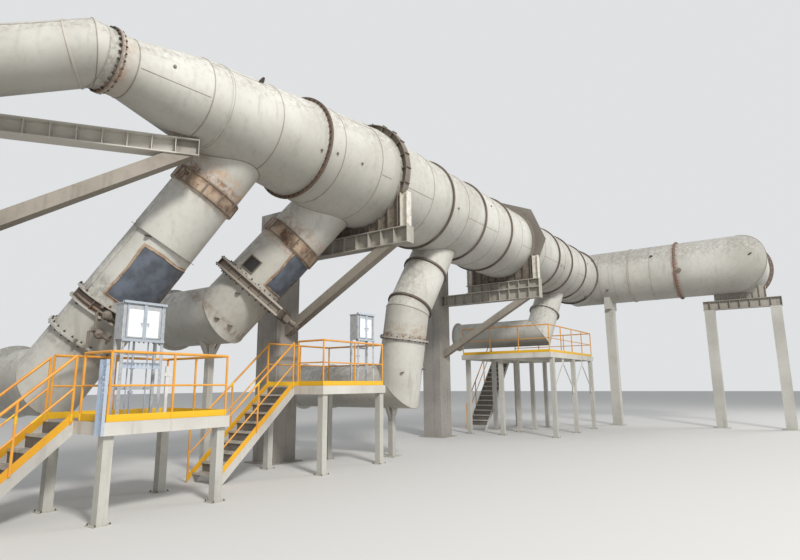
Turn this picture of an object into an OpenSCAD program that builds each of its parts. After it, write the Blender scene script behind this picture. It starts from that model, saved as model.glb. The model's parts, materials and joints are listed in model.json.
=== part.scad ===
// Hot gas duct main with four branch ducts, brackets and service platforms.
// Origin: on the floor, under the middle of bracket column 1.
// X runs along the main, Y towards the building side, Z up. All sizes in mm.

/* [Main duct] */
// Outside radius of the main and of the cross duct
main_r = 1320; // [1150:10:1400]
// Plate thickness of every duct shell
wall = 14; // [10:1:20]
// Height of the main's axis above the floor
axis_z = 7380; // [7000:10:7800]
// How far the main's axis lies in front of the bracket columns
axis_setback = 3030; // [2900:10:3200]
// Outside radius of the inlet duct
inlet_r = 520; // [480:10:560]
// Radius where the steep inlet cone meets the long taper
knee_r = 810; // [740:10:900]
// Radius at the first bolted joint of the main
taper_r = 1110; // [1000:10:1200]
// Height of a bolted flange above its shell
flange_h = 85; // [60:5:110]
// Height of the inlet joint's flanges above their shell
inlet_flange_h = 50; // [40:5:60]
// Thickness of one flange ring
flange_t = 28; // [20:1:40]
// Radius of the bolt holes in the flanges at the open ends
flange_hole_r = 13; // [9:1:16]
// Height of a stiffener ring above the shell
ring_h = 55; // [40:5:80]
// Width of a stiffener ring along the duct
ring_w = 60; // [40:5:90]

/* [Stations along the main] */
// Face of the inlet joint
inlet_x = -6830; // [-7000:10:-6700]
// Start of the steep cone
cone_x = -6530; // [-6600:10:-6450]
// Knee between the steep cone and the long taper
knee_x = -5260; // [-5400:10:-5150]
// First bolted joint
joint_1_x = -2510; // [-2600:10:-2400]
// End of the taper
taper_end_x = -380; // [-500:10:-300]
// Where branch 1's axis leaves the main's axis
branch_1_x = -3630; // [-3680:10:-3580]
// Where branch 2's axis leaves the main's axis
branch_2_x = -320; // [-350:5:-310]
// Where branch 3's axis leaves the main's axis
branch_3_x = 4510; // [4400:10:4600]
// Where branch 4's axis leaves the main's axis
branch_4_x = 14920; // [14800:10:15000]
// Bracket 2
bracket_2_x = 8640; // [8500:10:8800]
// Second bolted joint, before the corner
joint_2_x = 17000; // [16900:10:17100]
// Axis of the cross duct
cross_x = 18600; // [18550:10:18700]

/* [Cross duct] */
// Bolted joint of the cross duct, in front of the main's axis
cross_joint_run = 4820; // [4600:10:5000]
// Axis of the last elbow, in front of the main's axis
cross_run = 7120; // [7000:10:7300]
// Outlet face, beyond the cross duct's axis
outlet_run = 1780; // [1650:10:1900]

/* [Inlet duct] */
// Length of the straight leg before the inlet joint
inlet_leg = 240; // [230:10:280]
// Length of the leg behind the bend
inlet_tail = 2300; // [1900:10:2350]
// Heading of the leg behind the bend, from +X towards +Y
inlet_heading = 144; // [142:1:146]
// How far that leg points down
inlet_descent = 17; // [14:1:20]

/* [Branch ducts] */
// Radius of branch 1
branch_1_r = 660; // [600:10:700]
// Radius of branch 2
branch_2_r = 720; // [650:10:750]
// Radius of branch 3
branch_3_r = 640; // [580:10:680]
// Radius of branch 4
branch_4_r = 600; // [550:10:640]
// Height of the level run of branch 1
branch_1_z = 2150; // [2100:10:2300]
// Height of the level run of branch 2
branch_2_z = 3760; // [3700:10:3900]
// Height of the level run of branch 3
branch_3_z = 2000; // [1900:10:2100]
// Height of the level run of branch 4
branch_4_z = 4300; // [4250:10:4400]
// How far the level runs reach past the column line
run_end = 1450; // [1300:10:1600]
// Height of the collar plate on branch 1
collar_h = 65; // [50:5:80]
// Thickness of the slide gate's housing on branch 2
gate_len = 230; // [200:10:260]
// Width of the slide gate's housing
gate_w = 1770; // [1700:10:1800]

/* [Brackets] */
// Side of a bracket column
column_w = 800; // [700:10:900]
// Height of a bracket column
column_h = 6900; // [6600:10:7200]
// Radius of the anchor holes in the columns' base plates
anchor_r = 18; // [14:1:22]
// Depth of a bracket beam
beam_h = 420; // [360:10:480]
// Width of a bracket beam
beam_w = 300; // [240:10:340]
// Height of bracket beam 1's top
beam_1_top = 5860; // [5840:5:5880]
// How much lower bracket beam 2 lies than beam 1
beam_2_drop = 290; // [260:10:310]
// Depth of the spacer beam on bracket beam 2
spacer_h = 300; // [280:5:320]
// Depth of bracket beam 0
beam_0_h = 320; // [300:10:340]
// Heading of bracket 0, from +X towards +Y
bracket_0_heading = 144.4; // [143.4:0.2:145.4]
// Distance from the knee of the main to the axis of column 0
bracket_0_reach = 4200; // [4150:10:4300]
// Side of a bracket strut
strut_w = 240; // [200:10:260]
// Height of a ring girder's web above the shell
girder_h = 140; // [120:5:150]
// Width of a ring girder along the main
girder_w = 200; // [180:10:210]
// How far below the main's axis the ring girders land on their saddles
girder_drop = 630; // [600:10:660]
// Corner radius of the octagonal plate beside bracket 2
octagon_r = 1750; // [1730:10:1780]

/* [Platforms] */
// Height of the guard rail above the deck
rail_h = 1100; // [1000:10:1200]
// Height of the toe board
toe_h = 110; // [80:5:150]
// Side of a platform post
post_w = 160; // [120:10:200]
// Depth of the platform's edge channels
channel_h = 200; // [160:10:240]
// Diameter of the rails
rail_d = 48; // [34:1:60]
// Deck height of platform 1
deck_1_z = 1500; // [1400:10:1600]
// Deck height of platform 2
deck_2_z = 2020; // [1950:10:2100]
// Deck height of platform 3
deck_3_z = 3240; // [3200:10:3300]
// Width of a stair
stair_w = 900; // [800:10:1000]

/* [Hidden] */

// Colours
duct_paint = "gainsboro";
steel_dark = "dimgray";
rust = "sienna";
rail_paint = "orange";
frame_paint = "lightgray";

$fn = 180;
axis_y = -axis_setback;
seat_gap = 0.3;
floor_plate = 25;

// Small vector tools
function unit(v) = v / norm(v);
function heading(h, descent) = [cos(h) * cos(descent), sin(h) * cos(descent), -sin(descent)];
module aim(v) {
    rotate([0, acos(v[2] / norm(v)), atan2(v[1], v[0])]) children();
}
module rod(p, q, r) {
    translate(p) aim(q - p) cylinder(r = r, h = norm(q - p), $fn = 24);
}
module box(low, high) {
    translate(low) cube(high - low);
}
// Everything beyond the plane through p with normal n, out to the size s
module beyond(p, n, s) {
    translate(p) aim(n) translate([-s, -s, 0]) cube(2 * s);
}

// A duct leg of plate from p to q, each end square or mitred along the bisector of the bend there,
// with a flange of height h at its start or its end where that height is above 0,
// and end_holes bolt holes through the end flange
module leg(p, q, r, before = undef, after = undef, start_h = 0, end_h = 0, end_holes = 0) {
    d = unit(q - p);
    tail = is_undef(before) ? 0 : 1.3 * r;
    nose = is_undef(after) ? 0 : 1.3 * r;
    span = norm(q - p) + tail + nose;
    difference() {
        union() {
            translate(p - tail * d) aim(d) cylinder(r = r, h = span);
            if (start_h > 0) translate(p) aim(d) cylinder(r = r + start_h, h = flange_t);
            if (end_h > 0) translate(q) aim(-d) cylinder(r = r + end_h, h = flange_t);
        }
        translate(p - (tail + 10) * d) aim(d) cylinder(r = r - wall, h = span + 20);
        if (!is_undef(before)) beyond(p + d * seat_gap, -(d + before), 3 * r);
        if (!is_undef(after)) beyond(q, d + after, 3 * r);
        if (end_holes > 0) translate(q) aim(-d) for (a = [0 : 360 / end_holes : 359])
            rotate([0, 0, a]) translate([r + 0.55 * end_h, 0, -10])
                cylinder(r = flange_hole_r, h = flange_t + 20, $fn = 24);
    }
}
// The legs of a duct along a route of points, welded edge to edge at each bend
module duct(route, r, start_h = 0, end_h = 0, end_holes = 0) {
    n = len(route) - 1;
    for (i = [0 : n - 1]) leg(route[i], route[i + 1], r,
        i == 0 ? undef : unit(route[i] - route[i - 1]),
        i == n - 1 ? undef : unit(route[i + 2] - route[i + 1]),
        i == 0 ? start_h : 0, i == n - 1 ? end_h : 0, i == n - 1 ? end_holes : 0);
}
// A flat ring of height h around a shell of radius r, w long, starting at p and running along d
module band(p, d, r, h, w) {
    translate(p) aim(d) difference() {
        cylinder(r = r + h, h = w);
        translate([0, 0, -5]) cylinder(r = r, h = w + 10);
    }
}
// A turned length of the main through a list of [station, radius], with flanges as on a leg
module main_shell(st, start_h = 0, end_h = 0) {
    n = len(st) - 1;
    r_start = st[0][1] + (st[1][1] - st[0][1]) * flange_t / (st[1][0] - st[0][0]);
    r_end = st[n][1] - (st[n][1] - st[n - 1][1]) * flange_t / (st[n][0] - st[n - 1][0]);
    outer = concat(
        start_h > 0 ? [[st[0][1] + start_h, st[0][0]], [st[0][1] + start_h, st[0][0] + flange_t],
            [r_start, st[0][0] + flange_t]] : [[st[0][1], st[0][0]]],
        [for (i = [1 : 1 : n - 1]) [st[i][1], st[i][0]]],
        end_h > 0 ? [[r_end, st[n][0] - flange_t], [st[n][1] + end_h, st[n][0] - flange_t],
            [st[n][1] + end_h, st[n][0]]] : [[st[n][1], st[n][0]]]);
    inner = [for (i = [n : -1 : 0]) [st[i][1] - wall, st[i][0]]];
    translate([0, axis_y, axis_z]) rotate([0, 90, 0]) rotate_extrude() polygon(concat(outer, inner));
}
function on_axis(x) = [x, axis_y, axis_z];
module main_band(x, r, h, w) {
    band([x, axis_y, axis_z], [1, 0, 0], r, h, w);
}
// The main's outer form, used to trim what lands on it
module main_form(from_x = knee_x) {
    translate([0, axis_y, axis_z]) rotate([0, 90, 0]) {
        translate([0, 0, from_x]) cylinder(r1 = knee_r, r2 = taper_r, h = joint_1_x - from_x);
        translate([0, 0, joint_1_x]) cylinder(r1 = taper_r, r2 = main_r, h = taper_end_x - joint_1_x);
        translate([0, 0, taper_end_x]) cylinder(r = main_r, h = cross_x - taper_end_x);
    }
}

// Branch geometry: where each axis leaves the main's axis, its bends and its level run
branch_1_from = [branch_1_x, axis_y, axis_z];
branch_1_dir = heading(128, 55);
branch_1_knee = branch_1_from + branch_1_dir * (axis_z - branch_1_z) / -branch_1_dir[2];
branch_1_out = [branch_1_knee[0], run_end, branch_1_z];
branch_2_from = [branch_2_x, axis_y, axis_z];
branch_2_dir = heading(129, 49);
branch_2_knee = branch_2_from + branch_2_dir * (axis_z - branch_2_z) / -branch_2_dir[2];
branch_2_out = [branch_2_knee[0], run_end, branch_2_z];
branch_3_from = [branch_3_x, axis_y, axis_z];
branch_3_dir = heading(168, 59.6);
branch_3_bend = branch_3_from + branch_3_dir * 3750;
branch_3_knee = [branch_3_bend[0] - 50, branch_3_bend[1] + 300, branch_3_z];
branch_3_drop = unit(branch_3_knee - branch_3_bend);
branch_3_out = [branch_3_knee[0], run_end, branch_3_z];
branch_4_from = [branch_4_x, axis_y, axis_z];
branch_4_dir = heading(168, 60);
branch_4_knee = branch_4_from + branch_4_dir * (axis_z - branch_4_z) / -branch_4_dir[2];
branch_4_out = [branch_4_knee[0], run_end, branch_4_z];

// Distances along a branch from the main's axis: the expansion joints, the collar plate on branch 1,
// the joint with tie rods between its flanges, its third flange, and the slide gate on branch 2
joint_at_1 = 1570;
joint_len_1 = 280;
collar_at_1 = 3050;
rods_at_1 = 4600;
rods_len = 200;
flange_at_1 = 5400;
joint_at_2 = 2250;
joint_len_2 = 330;
gate_at_2 = 3780;

module branch_hole(p, d, r) {
    translate(p) aim(d) cylinder(r = r - wall, h = 3 * main_r);
}

// Inlet
inlet_bend_p = [inlet_x - inlet_leg, axis_y, axis_z];
inlet_back = heading(inlet_heading, inlet_descent);
module inlet_duct() color(duct_paint) {
    far = inlet_bend_p + inlet_back * inlet_tail;
    duct([on_axis(inlet_x), inlet_bend_p, far], inlet_r, inlet_flange_h, flange_h, 20);
}
module inlet_cone() color(duct_paint)
    main_shell([[inlet_x, inlet_r], [cone_x, inlet_r], [knee_x, knee_r]], inlet_flange_h);
weld_ring_x = [knee_x + 360, knee_x + 410];
weld_ring_h = 14;
function taper_at(x) = lookup(x, [[knee_x, knee_r], [joint_1_x, taper_r]]);
module taper_duct() color(duct_paint) difference() {
    union() {
        main_shell([[knee_x, knee_r], [joint_1_x, taper_r]], 0, flange_h);
        for (x = weld_ring_x) main_band(x, taper_at(x) - wall / 2, weld_ring_h + wall / 2, 24);
    }
    branch_hole(branch_1_from, branch_1_dir, branch_1_r);
}
module main_duct_1() color(duct_paint) difference() {
    main_shell([[joint_1_x, taper_r], [taper_end_x, main_r], [0, main_r]], flange_h);
    branch_hole(branch_2_from, branch_2_dir, branch_2_r);
}
module main_duct_2() color(duct_paint) difference() {
    main_shell([[0, main_r], [bracket_2_x, main_r]]);
    branch_hole(branch_3_from, branch_3_dir, branch_3_r);
}
module main_duct_3() color(duct_paint) difference() {
    main_shell([[bracket_2_x, main_r], [joint_2_x, main_r]], 0, flange_h);
    branch_hole(branch_4_from, branch_4_dir, branch_4_r);
}

// Corner, cross duct and outlet elbow
corner_p = [cross_x, axis_y, axis_z];
outward = [0, -1, 0];
cross_joint_p = corner_p + outward * cross_joint_run;
end_p = corner_p + outward * cross_run;
outlet_p = end_p + [outlet_run, 0, 0];
module corner_duct() color(duct_paint)
    duct([on_axis(joint_2_x), corner_p, cross_joint_p], main_r, flange_h, flange_h);
module end_duct() color(duct_paint)
    duct([cross_joint_p, end_p, outlet_p], main_r, flange_h, 2 * flange_h, 36);

// Rings welded round the main between its joints, and round branch 3
ring_stations = [2550, 4650, 6660, 11540, 13170, 15160];
branch_3_rings = [2200, 3540];
module stiffener_rings() color(steel_dark) {
    for (x = ring_stations) main_band(x - ring_w / 2, main_r, ring_h, ring_w);
    for (t = branch_3_rings) band(branch_3_from + branch_3_dir * (t - ring_w / 2), branch_3_dir,
        branch_3_r, ring_h, ring_w);
}

// Ring girders over the brackets. Girder 1 is a T-section hoop with tabs, girder 2 a plain hoop with
// an octagonal plate beside it. The hoops are cut off level where they land on the saddles.
plate_t = 20;
girder_r = main_r + girder_h + plate_t;
tab_pitch = 15;
tab_out = 35;
hoop_2_h = 80;
landing_z = axis_z - girder_drop;
module landed(x) difference() {
    children();
    box([x - 400, axis_y - 2 * girder_r, landing_z - 2 * girder_r],
        [x + 400, axis_y + 2 * girder_r, landing_z + seat_gap]);
}
module ring_girder_1() color(steel_dark) landed(0) union() {
    translate([0, axis_y, axis_z]) rotate([0, 90, 0]) rotate_extrude() polygon([
        [main_r, -plate_t / 2], [girder_r - plate_t, -plate_t / 2], [girder_r - plate_t, -girder_w / 2],
        [girder_r, -girder_w / 2], [girder_r, girder_w / 2], [girder_r - plate_t, girder_w / 2],
        [girder_r - plate_t, plate_t / 2], [main_r, plate_t / 2]]);
    for (a = [-7 * tab_pitch : tab_pitch : 7 * tab_pitch]) translate([0, axis_y, axis_z]) rotate([a, 0, 0])
        translate([10 - girder_w / 2, -8, main_r + 8])
            cube([girder_w - 20, 16, girder_r + tab_out - main_r - 8]);
}
module ring_girder_2() color(steel_dark) {
    landed(bracket_2_x) main_band(bracket_2_x - girder_w / 2, main_r, hoop_2_h, ring_w);
    difference() {
        translate([bracket_2_x + 160, axis_y, axis_z]) rotate([0, 90, 0])
            cylinder(r = octagon_r, h = 25, $fn = 8);
        main_band(bracket_2_x, 0, main_r, 400);
    }
}

// Brackets: a beam and a strut from each column. Brackets 1 and 2 lie across the main, and bracket 0
// lies in a plane of its own under the knee, drawn along +Y from there and turned to its heading.
beam_2_top = beam_1_top - beam_2_drop;
pad_0_t = 40;
beam_0_top = axis_z - knee_r - pad_0_t;
beam_nose = axis_y - girder_r - 30;
column_face = -column_w / 2;
face_0 = bracket_0_reach - column_w / 2;
bracket_list = [[0, beam_1_top], [bracket_2_x, beam_2_top]];
module at_bracket_0() {
    translate([knee_x, axis_y, 0]) rotate([0, 0, bracket_0_heading - 90]) children();
}
module beam_section(y0, y1, x, top, h) {
    box([x - beam_w / 2, y0, top - 25], [x + beam_w / 2, y1, top]);
    box([x - beam_w / 2, y0, top - h], [x + beam_w / 2, y1, top - h + 25]);
    box([x - plate_t / 2, y0, top - h], [x + plate_t / 2, y1, top]);
    for (y = [y0 : 400 : y1 - 20]) box([x - beam_w / 2, y, top - h], [x + beam_w / 2, y + 14, top]);
}
module bracket_beams() color(frame_paint) {
    union() beam_section(beam_nose, column_face, 0, beam_1_top, beam_h);
    union() {
        beam_section(beam_nose, column_face, bracket_2_x, beam_2_top, beam_h);
        beam_section(beam_nose, axis_y + girder_r + 30, bracket_2_x, beam_2_top + spacer_h, spacer_h + 5);
    }
    at_bracket_0() union() beam_section(-250, face_0, 0, beam_0_top, beam_0_h);
}
module strut(x, y_nose, top, y_face, foot_z) {
    difference() {
        p = [x, y_nose, top];
        q = [x, y_face, foot_z];
        d = unit(q - p);
        translate(p - 600 * d) aim(d) translate([-strut_w / 2, -strut_w / 2, 0])
            cube([strut_w, strut_w, norm(q - p) + 1200]);
        box([x - 1000, y_nose - 2000, top], [x + 1000, y_face + 2000, top + 2000]);
        box([x - 1000, y_face, foot_z - 3000], [x + 1000, y_face + 2000, top + 3000]);
    }
}
strut_fall = 0.56;
module bracket_struts() color(frame_paint) {
    for (b = bracket_list) strut(b[0], beam_nose + 700, b[1] - beam_h, column_face,
        b[1] - beam_h - (column_face - beam_nose - 700) * strut_fall);
    at_bracket_0() strut(0, 100, beam_0_top - beam_0_h, face_0,
        beam_0_top - beam_0_h - (face_0 - 100) * strut_fall);
}
// A square column of side w on a base plate with four anchor holes, one at each corner
module column(x, y, w, h) {
    edge = w / 2 + 150;
    box([x - w / 2, y - w / 2, floor_plate - 5], [x + w / 2, y + w / 2, h]);
    difference() {
        box([x - edge, y - edge, 0], [x + edge, y + edge, floor_plate]);
        for (i = [-1, 1]) for (j = [-1, 1]) translate([x + i * (edge - 70), y + j * (edge - 70), -5])
            cylinder(r = anchor_r, h = floor_plate + 10, $fn = 24);
    }
}
module bracket_columns() color(frame_paint) {
    for (b = bracket_list) union() column(b[0], 0, column_w, column_h);
    at_bracket_0() union() column(0, bracket_0_reach, column_w, column_h);
}

// Saddles: a web plate across the main with stiffener plates along it. The two outermost plates at
// each end make, with the web, the posts on which the ring girder lands.
post_d = 210;
module saddle(x, base_z) {
    inner = girder_r - post_d - 80;
    difference() {
        union() {
            translate([x - plate_t / 2, axis_y - girder_r, base_z])
                cube([plate_t, 2 * girder_r, landing_z - base_z]);
            translate([x - girder_w / 2, axis_y - girder_r, base_z])
                cube([girder_w, 2 * girder_r, plate_t]);
            for (y = [-girder_r, post_d - plate_t - girder_r, girder_r - post_d, girder_r - plate_t])
                translate([x - girder_w / 2, axis_y + y, base_z])
                    cube([girder_w, plate_t, landing_z - base_z]);
            for (i = [0 : 8]) translate([x - girder_w / 2, axis_y - inner + i * inner / 4 - 8, base_z])
                cube([girder_w, 16, landing_z - base_z]);
        }
        main_band(x - 400, 0, main_r + seat_gap, 800);
    }
}
module saddles() color(steel_dark) {
    saddle(0, beam_1_top);
    saddle(bracket_2_x, beam_2_top + spacer_h);
    difference() {
        at_bracket_0() box([-120, -200, beam_0_top], [120, 300, beam_0_top + 300]);
        translate([0, axis_y, axis_z]) rotate([0, 90, 0]) {
            translate([0, 0, cone_x])
                cylinder(r1 = inlet_r + seat_gap, r2 = knee_r + seat_gap, h = knee_x - cone_x);
            translate([0, 0, knee_x])
                cylinder(r1 = knee_r + seat_gap, r2 = taper_r + seat_gap, h = joint_1_x - knee_x);
        }
    }
}

// Corner column and end columns
corner_w = 420;
corner_column_p = [cross_x - 300, axis_y - 1500];
corner_head_z = 5700;
corner_head_h = 700;
end_post_y = [axis_y - cross_run - 1400, axis_y - cross_run + 1200];
end_girder_top = 5760;
end_girder_x = cross_x + 100;
module corner_column() color(frame_paint) difference() {
    union() {
        column(corner_column_p[0], corner_column_p[1], corner_w, corner_head_z);
        box([corner_column_p[0] - 450, corner_column_p[1] - 150, corner_head_z],
            [corner_column_p[0] + 750, corner_column_p[1] + 150, corner_head_z + corner_head_h]);
    }
    translate(corner_p) rotate([90, 0, 0]) cylinder(r = main_r + seat_gap, h = cross_run);
}
module end_columns() color(frame_paint) {
    for (y = end_post_y) union() column(end_girder_x, y, corner_w, end_girder_top - beam_h);
}
module end_girder() color(frame_paint) difference() {
    union() {
        beam_section(end_post_y[0] - 250, end_post_y[1] + 250, end_girder_x, end_girder_top, beam_h);
        for (y = [end_post_y[0] + 300 : 250 : end_post_y[1] - 200])
            translate([end_girder_x - 120, y, end_girder_top - 5]) cube([240, 14, 755]);
        box([end_girder_x - 10, end_post_y[0] + 300, end_girder_top - 5],
            [end_girder_x + 10, end_post_y[1] - 236, end_girder_top + 750]);
    }
    translate(corner_p) rotate([90, 0, 0]) cylinder(r = main_r + seat_gap, h = cross_run + 680);
    translate(end_p) rotate([0, 90, 0]) translate([0, 0, -3000]) cylinder(r = main_r + seat_gap, h = 6000);
    box([end_girder_x - 500, end_post_y[0], end_girder_top + 560],
        [end_girder_x + 300, end_post_y[1] + 500, end_girder_top + 1500]);
}

// Branch parts
module stub(p, d, r, to, end_h = 0) {
    difference() {
        duct([p, p + d * to], r, 0, end_h);
        main_form();
    }
}
module branch_1_duct() color(duct_paint) stub(branch_1_from, branch_1_dir, branch_1_r, joint_at_1);
module branch_1_middle() color(duct_paint) {
    duct([branch_1_from + branch_1_dir * (joint_at_1 + joint_len_1),
        branch_1_from + branch_1_dir * rods_at_1], branch_1_r, 0, flange_h);
    band(branch_1_from + branch_1_dir * collar_at_1, branch_1_dir, branch_1_r - wall / 2,
        collar_h + wall / 2, 10);
}
module branch_1_lower() color(duct_paint)
    duct([branch_1_from + branch_1_dir * (rods_at_1 + rods_len),
        branch_1_from + branch_1_dir * flange_at_1], branch_1_r, flange_h, flange_h);
module branch_1_joint() color(rust)
    joint_band(branch_1_from, branch_1_dir, joint_at_1, joint_len_1, branch_1_r);
// A band of length len round the gap between two shells of radius r, lapping 20 over each
module joint_band(p, d, at, len, r) {
    difference() {
        translate(p + d * (at - 20)) aim(d) cylinder(r = r + 45, h = len + 40);
        translate(p + d * (at - 30)) aim(d) cylinder(r = r, h = 30);
        translate(p + d * (at - 30)) aim(d) cylinder(r = r - wall, h = len + 60);
        translate(p + d * (at + len)) aim(d) cylinder(r = r, h = 30);
    }
}
// The bellows of branch 1's lower joint, and the tie rods between its two flanges
module branch_1_damper() color(steel_dark)
    translate(branch_1_from + branch_1_dir * rods_at_1) aim(branch_1_dir) {
    waves = [[0, 0], [0, 30], [30, 55], [30, 70], [5, 95], [5, 105], [30, 130], [30, 145], [0, 170],
        [0, rods_len - 2 * seat_gap]];
    translate([0, 0, seat_gap]) rotate_extrude() polygon(concat(
        [for (v = waves) [branch_1_r + v[0], v[1]]],
        [for (i = [len(waves) - 1 : -1 : 0]) [branch_1_r + waves[i][0] - wall, waves[i][1]]]));
}
module branch_1_tie_rods() color(steel_dark)
    translate(branch_1_from + branch_1_dir * rods_at_1) aim(branch_1_dir)
    for (a = [0 : 45 : 315]) rotate([0, 0, a]) translate([branch_1_r + 0.65 * flange_h, 0, seat_gap])
        cylinder(r = 14, h = rods_len - 2 * seat_gap, $fn = 24);
// The slide gate of branch 2: two face plates with ribs and a core between them, and its drive at the low end
gate_up = 760;
gate_down = 1140;
gate_rib_step = (gate_up + gate_down - 54) / 6;
module branch_2_damper() color(steel_dark)
    translate(branch_2_from + branch_2_dir * gate_at_2) aim(branch_2_dir) difference() {
        union() {
            for (z = [0, gate_len - 25]) box([-gate_up, -gate_w / 2, z], [gate_down, gate_w / 2, z + 25]);
            box([60 - gate_up, 60 - gate_w / 2, 20], [gate_down - 60, gate_w / 2 - 60, gate_len - 20]);
            for (i = [0 : 6]) translate([20 - gate_up + i * gate_rib_step, -gate_w / 2 + 5, 20])
                cube([14, gate_w - 10, gate_len - 40]);
            box([gate_down - 30, -90, 30], [gate_down + 150, 90, gate_len - 30]);
            translate([gate_down + 140, 0, gate_len / 2]) rotate([0, 90, 0])
                cylinder(r = 60, h = 120, $fn = 48);
        }
        translate([0, 0, -10]) cylinder(r = branch_2_r - wall, h = gate_len + 20);
    }
// A mitred elbow is two legs welded at the knee: one that comes down from p along d, and the level run
module elbow(p, knee, out, r) {
    leg(p, knee, r, undef, unit(out - knee), flange_h);
}
module level_run(d, knee, out, r) {
    leg(knee, out, r, d, undef, 0, flange_h, 20);
}
module branch_1_elbow() color(duct_paint)
    elbow(branch_1_from + branch_1_dir * flange_at_1, branch_1_knee, branch_1_out, branch_1_r);
module branch_1_run() color(duct_paint) level_run(branch_1_dir, branch_1_knee, branch_1_out, branch_1_r);
module branch_2_duct() color(duct_paint) stub(branch_2_from, branch_2_dir, branch_2_r, joint_at_2);
module branch_2_lower() color(duct_paint)
    duct([branch_2_from + branch_2_dir * (joint_at_2 + joint_len_2),
        branch_2_from + branch_2_dir * gate_at_2], branch_2_r, 0, flange_h);
module branch_2_joint() color(rust)
    joint_band(branch_2_from, branch_2_dir, joint_at_2, joint_len_2, branch_2_r);
module branch_2_elbow() color(duct_paint)
    elbow(branch_2_from + branch_2_dir * (gate_at_2 + gate_len), branch_2_knee, branch_2_out, branch_2_r);
module branch_2_run() color(duct_paint) level_run(branch_2_dir, branch_2_knee, branch_2_out, branch_2_r);
// A post under a level run, with two knee braces up to the duct
module duct_post(knee, y, r) difference() {
    union() {
        column(knee[0], y, post_w, knee[2]);
        for (s = [-1, 1]) translate([knee[0], y, knee[2] - r - 430]) rotate([0, s * 28, 0])
            translate([-40, -40, 0]) cube([80, 80, 700]);
    }
    translate(knee) rotate([-90, 0, 0]) cylinder(r = r + seat_gap, h = 3000);
}
module branch_2_post() color(frame_paint) duct_post(branch_2_knee, branch_2_knee[1] + 500, branch_2_r);
branch_3_split = branch_3_bend + branch_3_drop * 800;
module branch_3_duct() color(duct_paint) difference() {
    leg(branch_3_from, branch_3_bend, branch_3_r, undef, branch_3_drop);
    main_form();
}
module branch_3_bend() color(duct_paint)
    leg(branch_3_bend, branch_3_split, branch_3_r, branch_3_dir, undef, 0, flange_h);
module branch_3_elbow() color(duct_paint) elbow(branch_3_split, branch_3_knee, branch_3_out, branch_3_r);
module branch_3_run() color(duct_paint) level_run(branch_3_drop, branch_3_knee, branch_3_out, branch_3_r);
module branch_3_post() color(frame_paint) duct_post(branch_3_knee, branch_3_knee[1] + 250, branch_3_r);
module branch_4_duct() color(duct_paint)
    stub(branch_4_from, branch_4_dir, branch_4_r, 2500, flange_h);
module branch_4_elbow() color(duct_paint)
    elbow(branch_4_from + branch_4_dir * 2500, branch_4_knee, branch_4_out, branch_4_r);
module branch_4_run() color(duct_paint) level_run(branch_4_dir, branch_4_knee, branch_4_out, branch_4_r);

// Platforms: low and high corner of each deck
deck_1 = [[-6430, -3250], [-4130, -1230]];
deck_2 = [[-1130, -2800], [1320, -750]];
deck_3 = [[10120, -4250], [15720, -350]];
deck_t = 8;
deck_3_mid = deck_3[0][1] + 2250;
// A plate deck on edge channels and cross bearers, with a full-depth bearer at each y in inner
module deck(c, z, inner = []) {
    lo = c[0];
    hi = c[1];
    box([lo[0], lo[1], z - deck_t], [hi[0], hi[1], z]);
    for (x = [lo[0], hi[0] - 70]) box([x, lo[1], z - channel_h], [x + 70, hi[1], z]);
    for (y = [lo[1], hi[1] - 70]) box([lo[0], y, z - channel_h], [hi[0], y + 70, z]);
    n = ceil((hi[0] - lo[0]) / 1100);
    for (i = [1 : n - 1]) box([lo[0] + i * (hi[0] - lo[0]) / n - 30, lo[1], z - 120],
        [lo[0] + i * (hi[0] - lo[0]) / n + 30, hi[1], z]);
    for (y = inner) box([lo[0], y - 50, z - channel_h], [hi[0], y + 50, z]);
}
module posts(xs, ys, z) {
    for (x = xs) for (y = ys) union() {
        box([x - post_w / 2, y - post_w / 2, 12], [x + post_w / 2, y + post_w / 2, z - channel_h]);
        box([x - post_w / 2 - 60, y - post_w / 2 - 60, 0], [x + post_w / 2 + 60, y + post_w / 2 + 60, 12]);
    }
}
// One flat side of guard rail from p to q at deck height z, with n bays, and posts from the one
// numbered first to the one numbered last
module guard(p, q, z, n, first = 0, last = -1) {
    a = [p[0], p[1], z];
    d = [q[0] - p[0], q[1] - p[1], 0];
    top = [0, 0, rail_h - rail_d / 2];
    mid = [0, 0, rail_h / 2];
    union() {
        rod(a + top, a + d + top, rail_d / 2);
        rod(a + mid, a + d + mid, rail_d / 2 - 7);
        for (i = [first : last < 0 ? n : last]) translate(a + d * i / n)
            cylinder(r = rail_d / 2 - 3, h = rail_h - rail_d / 2, $fn = 24);
        translate(a) rotate([0, 0, atan2(d[1], d[0])]) translate([0, -4, 0]) cube([norm(d), 8, toe_h]);
    }
}
rail_seat = rail_d / 2 + seat_gap;
inset = 60;
module platform_1_deck() color(frame_paint) union() deck(deck_1, deck_1_z);
module platform_1_posts() color(frame_paint)
    posts([deck_1[0][0] + 120, deck_1[1][0] - 120], [deck_1[0][1] + 150, deck_1[1][1] - 150], deck_1_z);
module platform_1_railing() color(rail_paint) {
    lo = deck_1[0] + [inset, inset];
    hi = deck_1[1] - [inset, inset];
    guard([lo[0], lo[1]], [hi[0], lo[1]], deck_1_z, 2);
    guard([hi[0], lo[1] + rail_seat], [hi[0], hi[1] - rail_seat], deck_1_z, 2, 1, 1);
    guard([lo[0], hi[1]], [hi[0], hi[1]], deck_1_z, 2);
    guard([lo[0], stair_1_y - 60], [lo[0], lo[1] + rail_seat], deck_1_z, 1, 0, 0);
    stair_rails(deck_1[0][0] - seat_gap, stair_1_y, deck_1_z, stair_pitch, 2);
}
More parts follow.
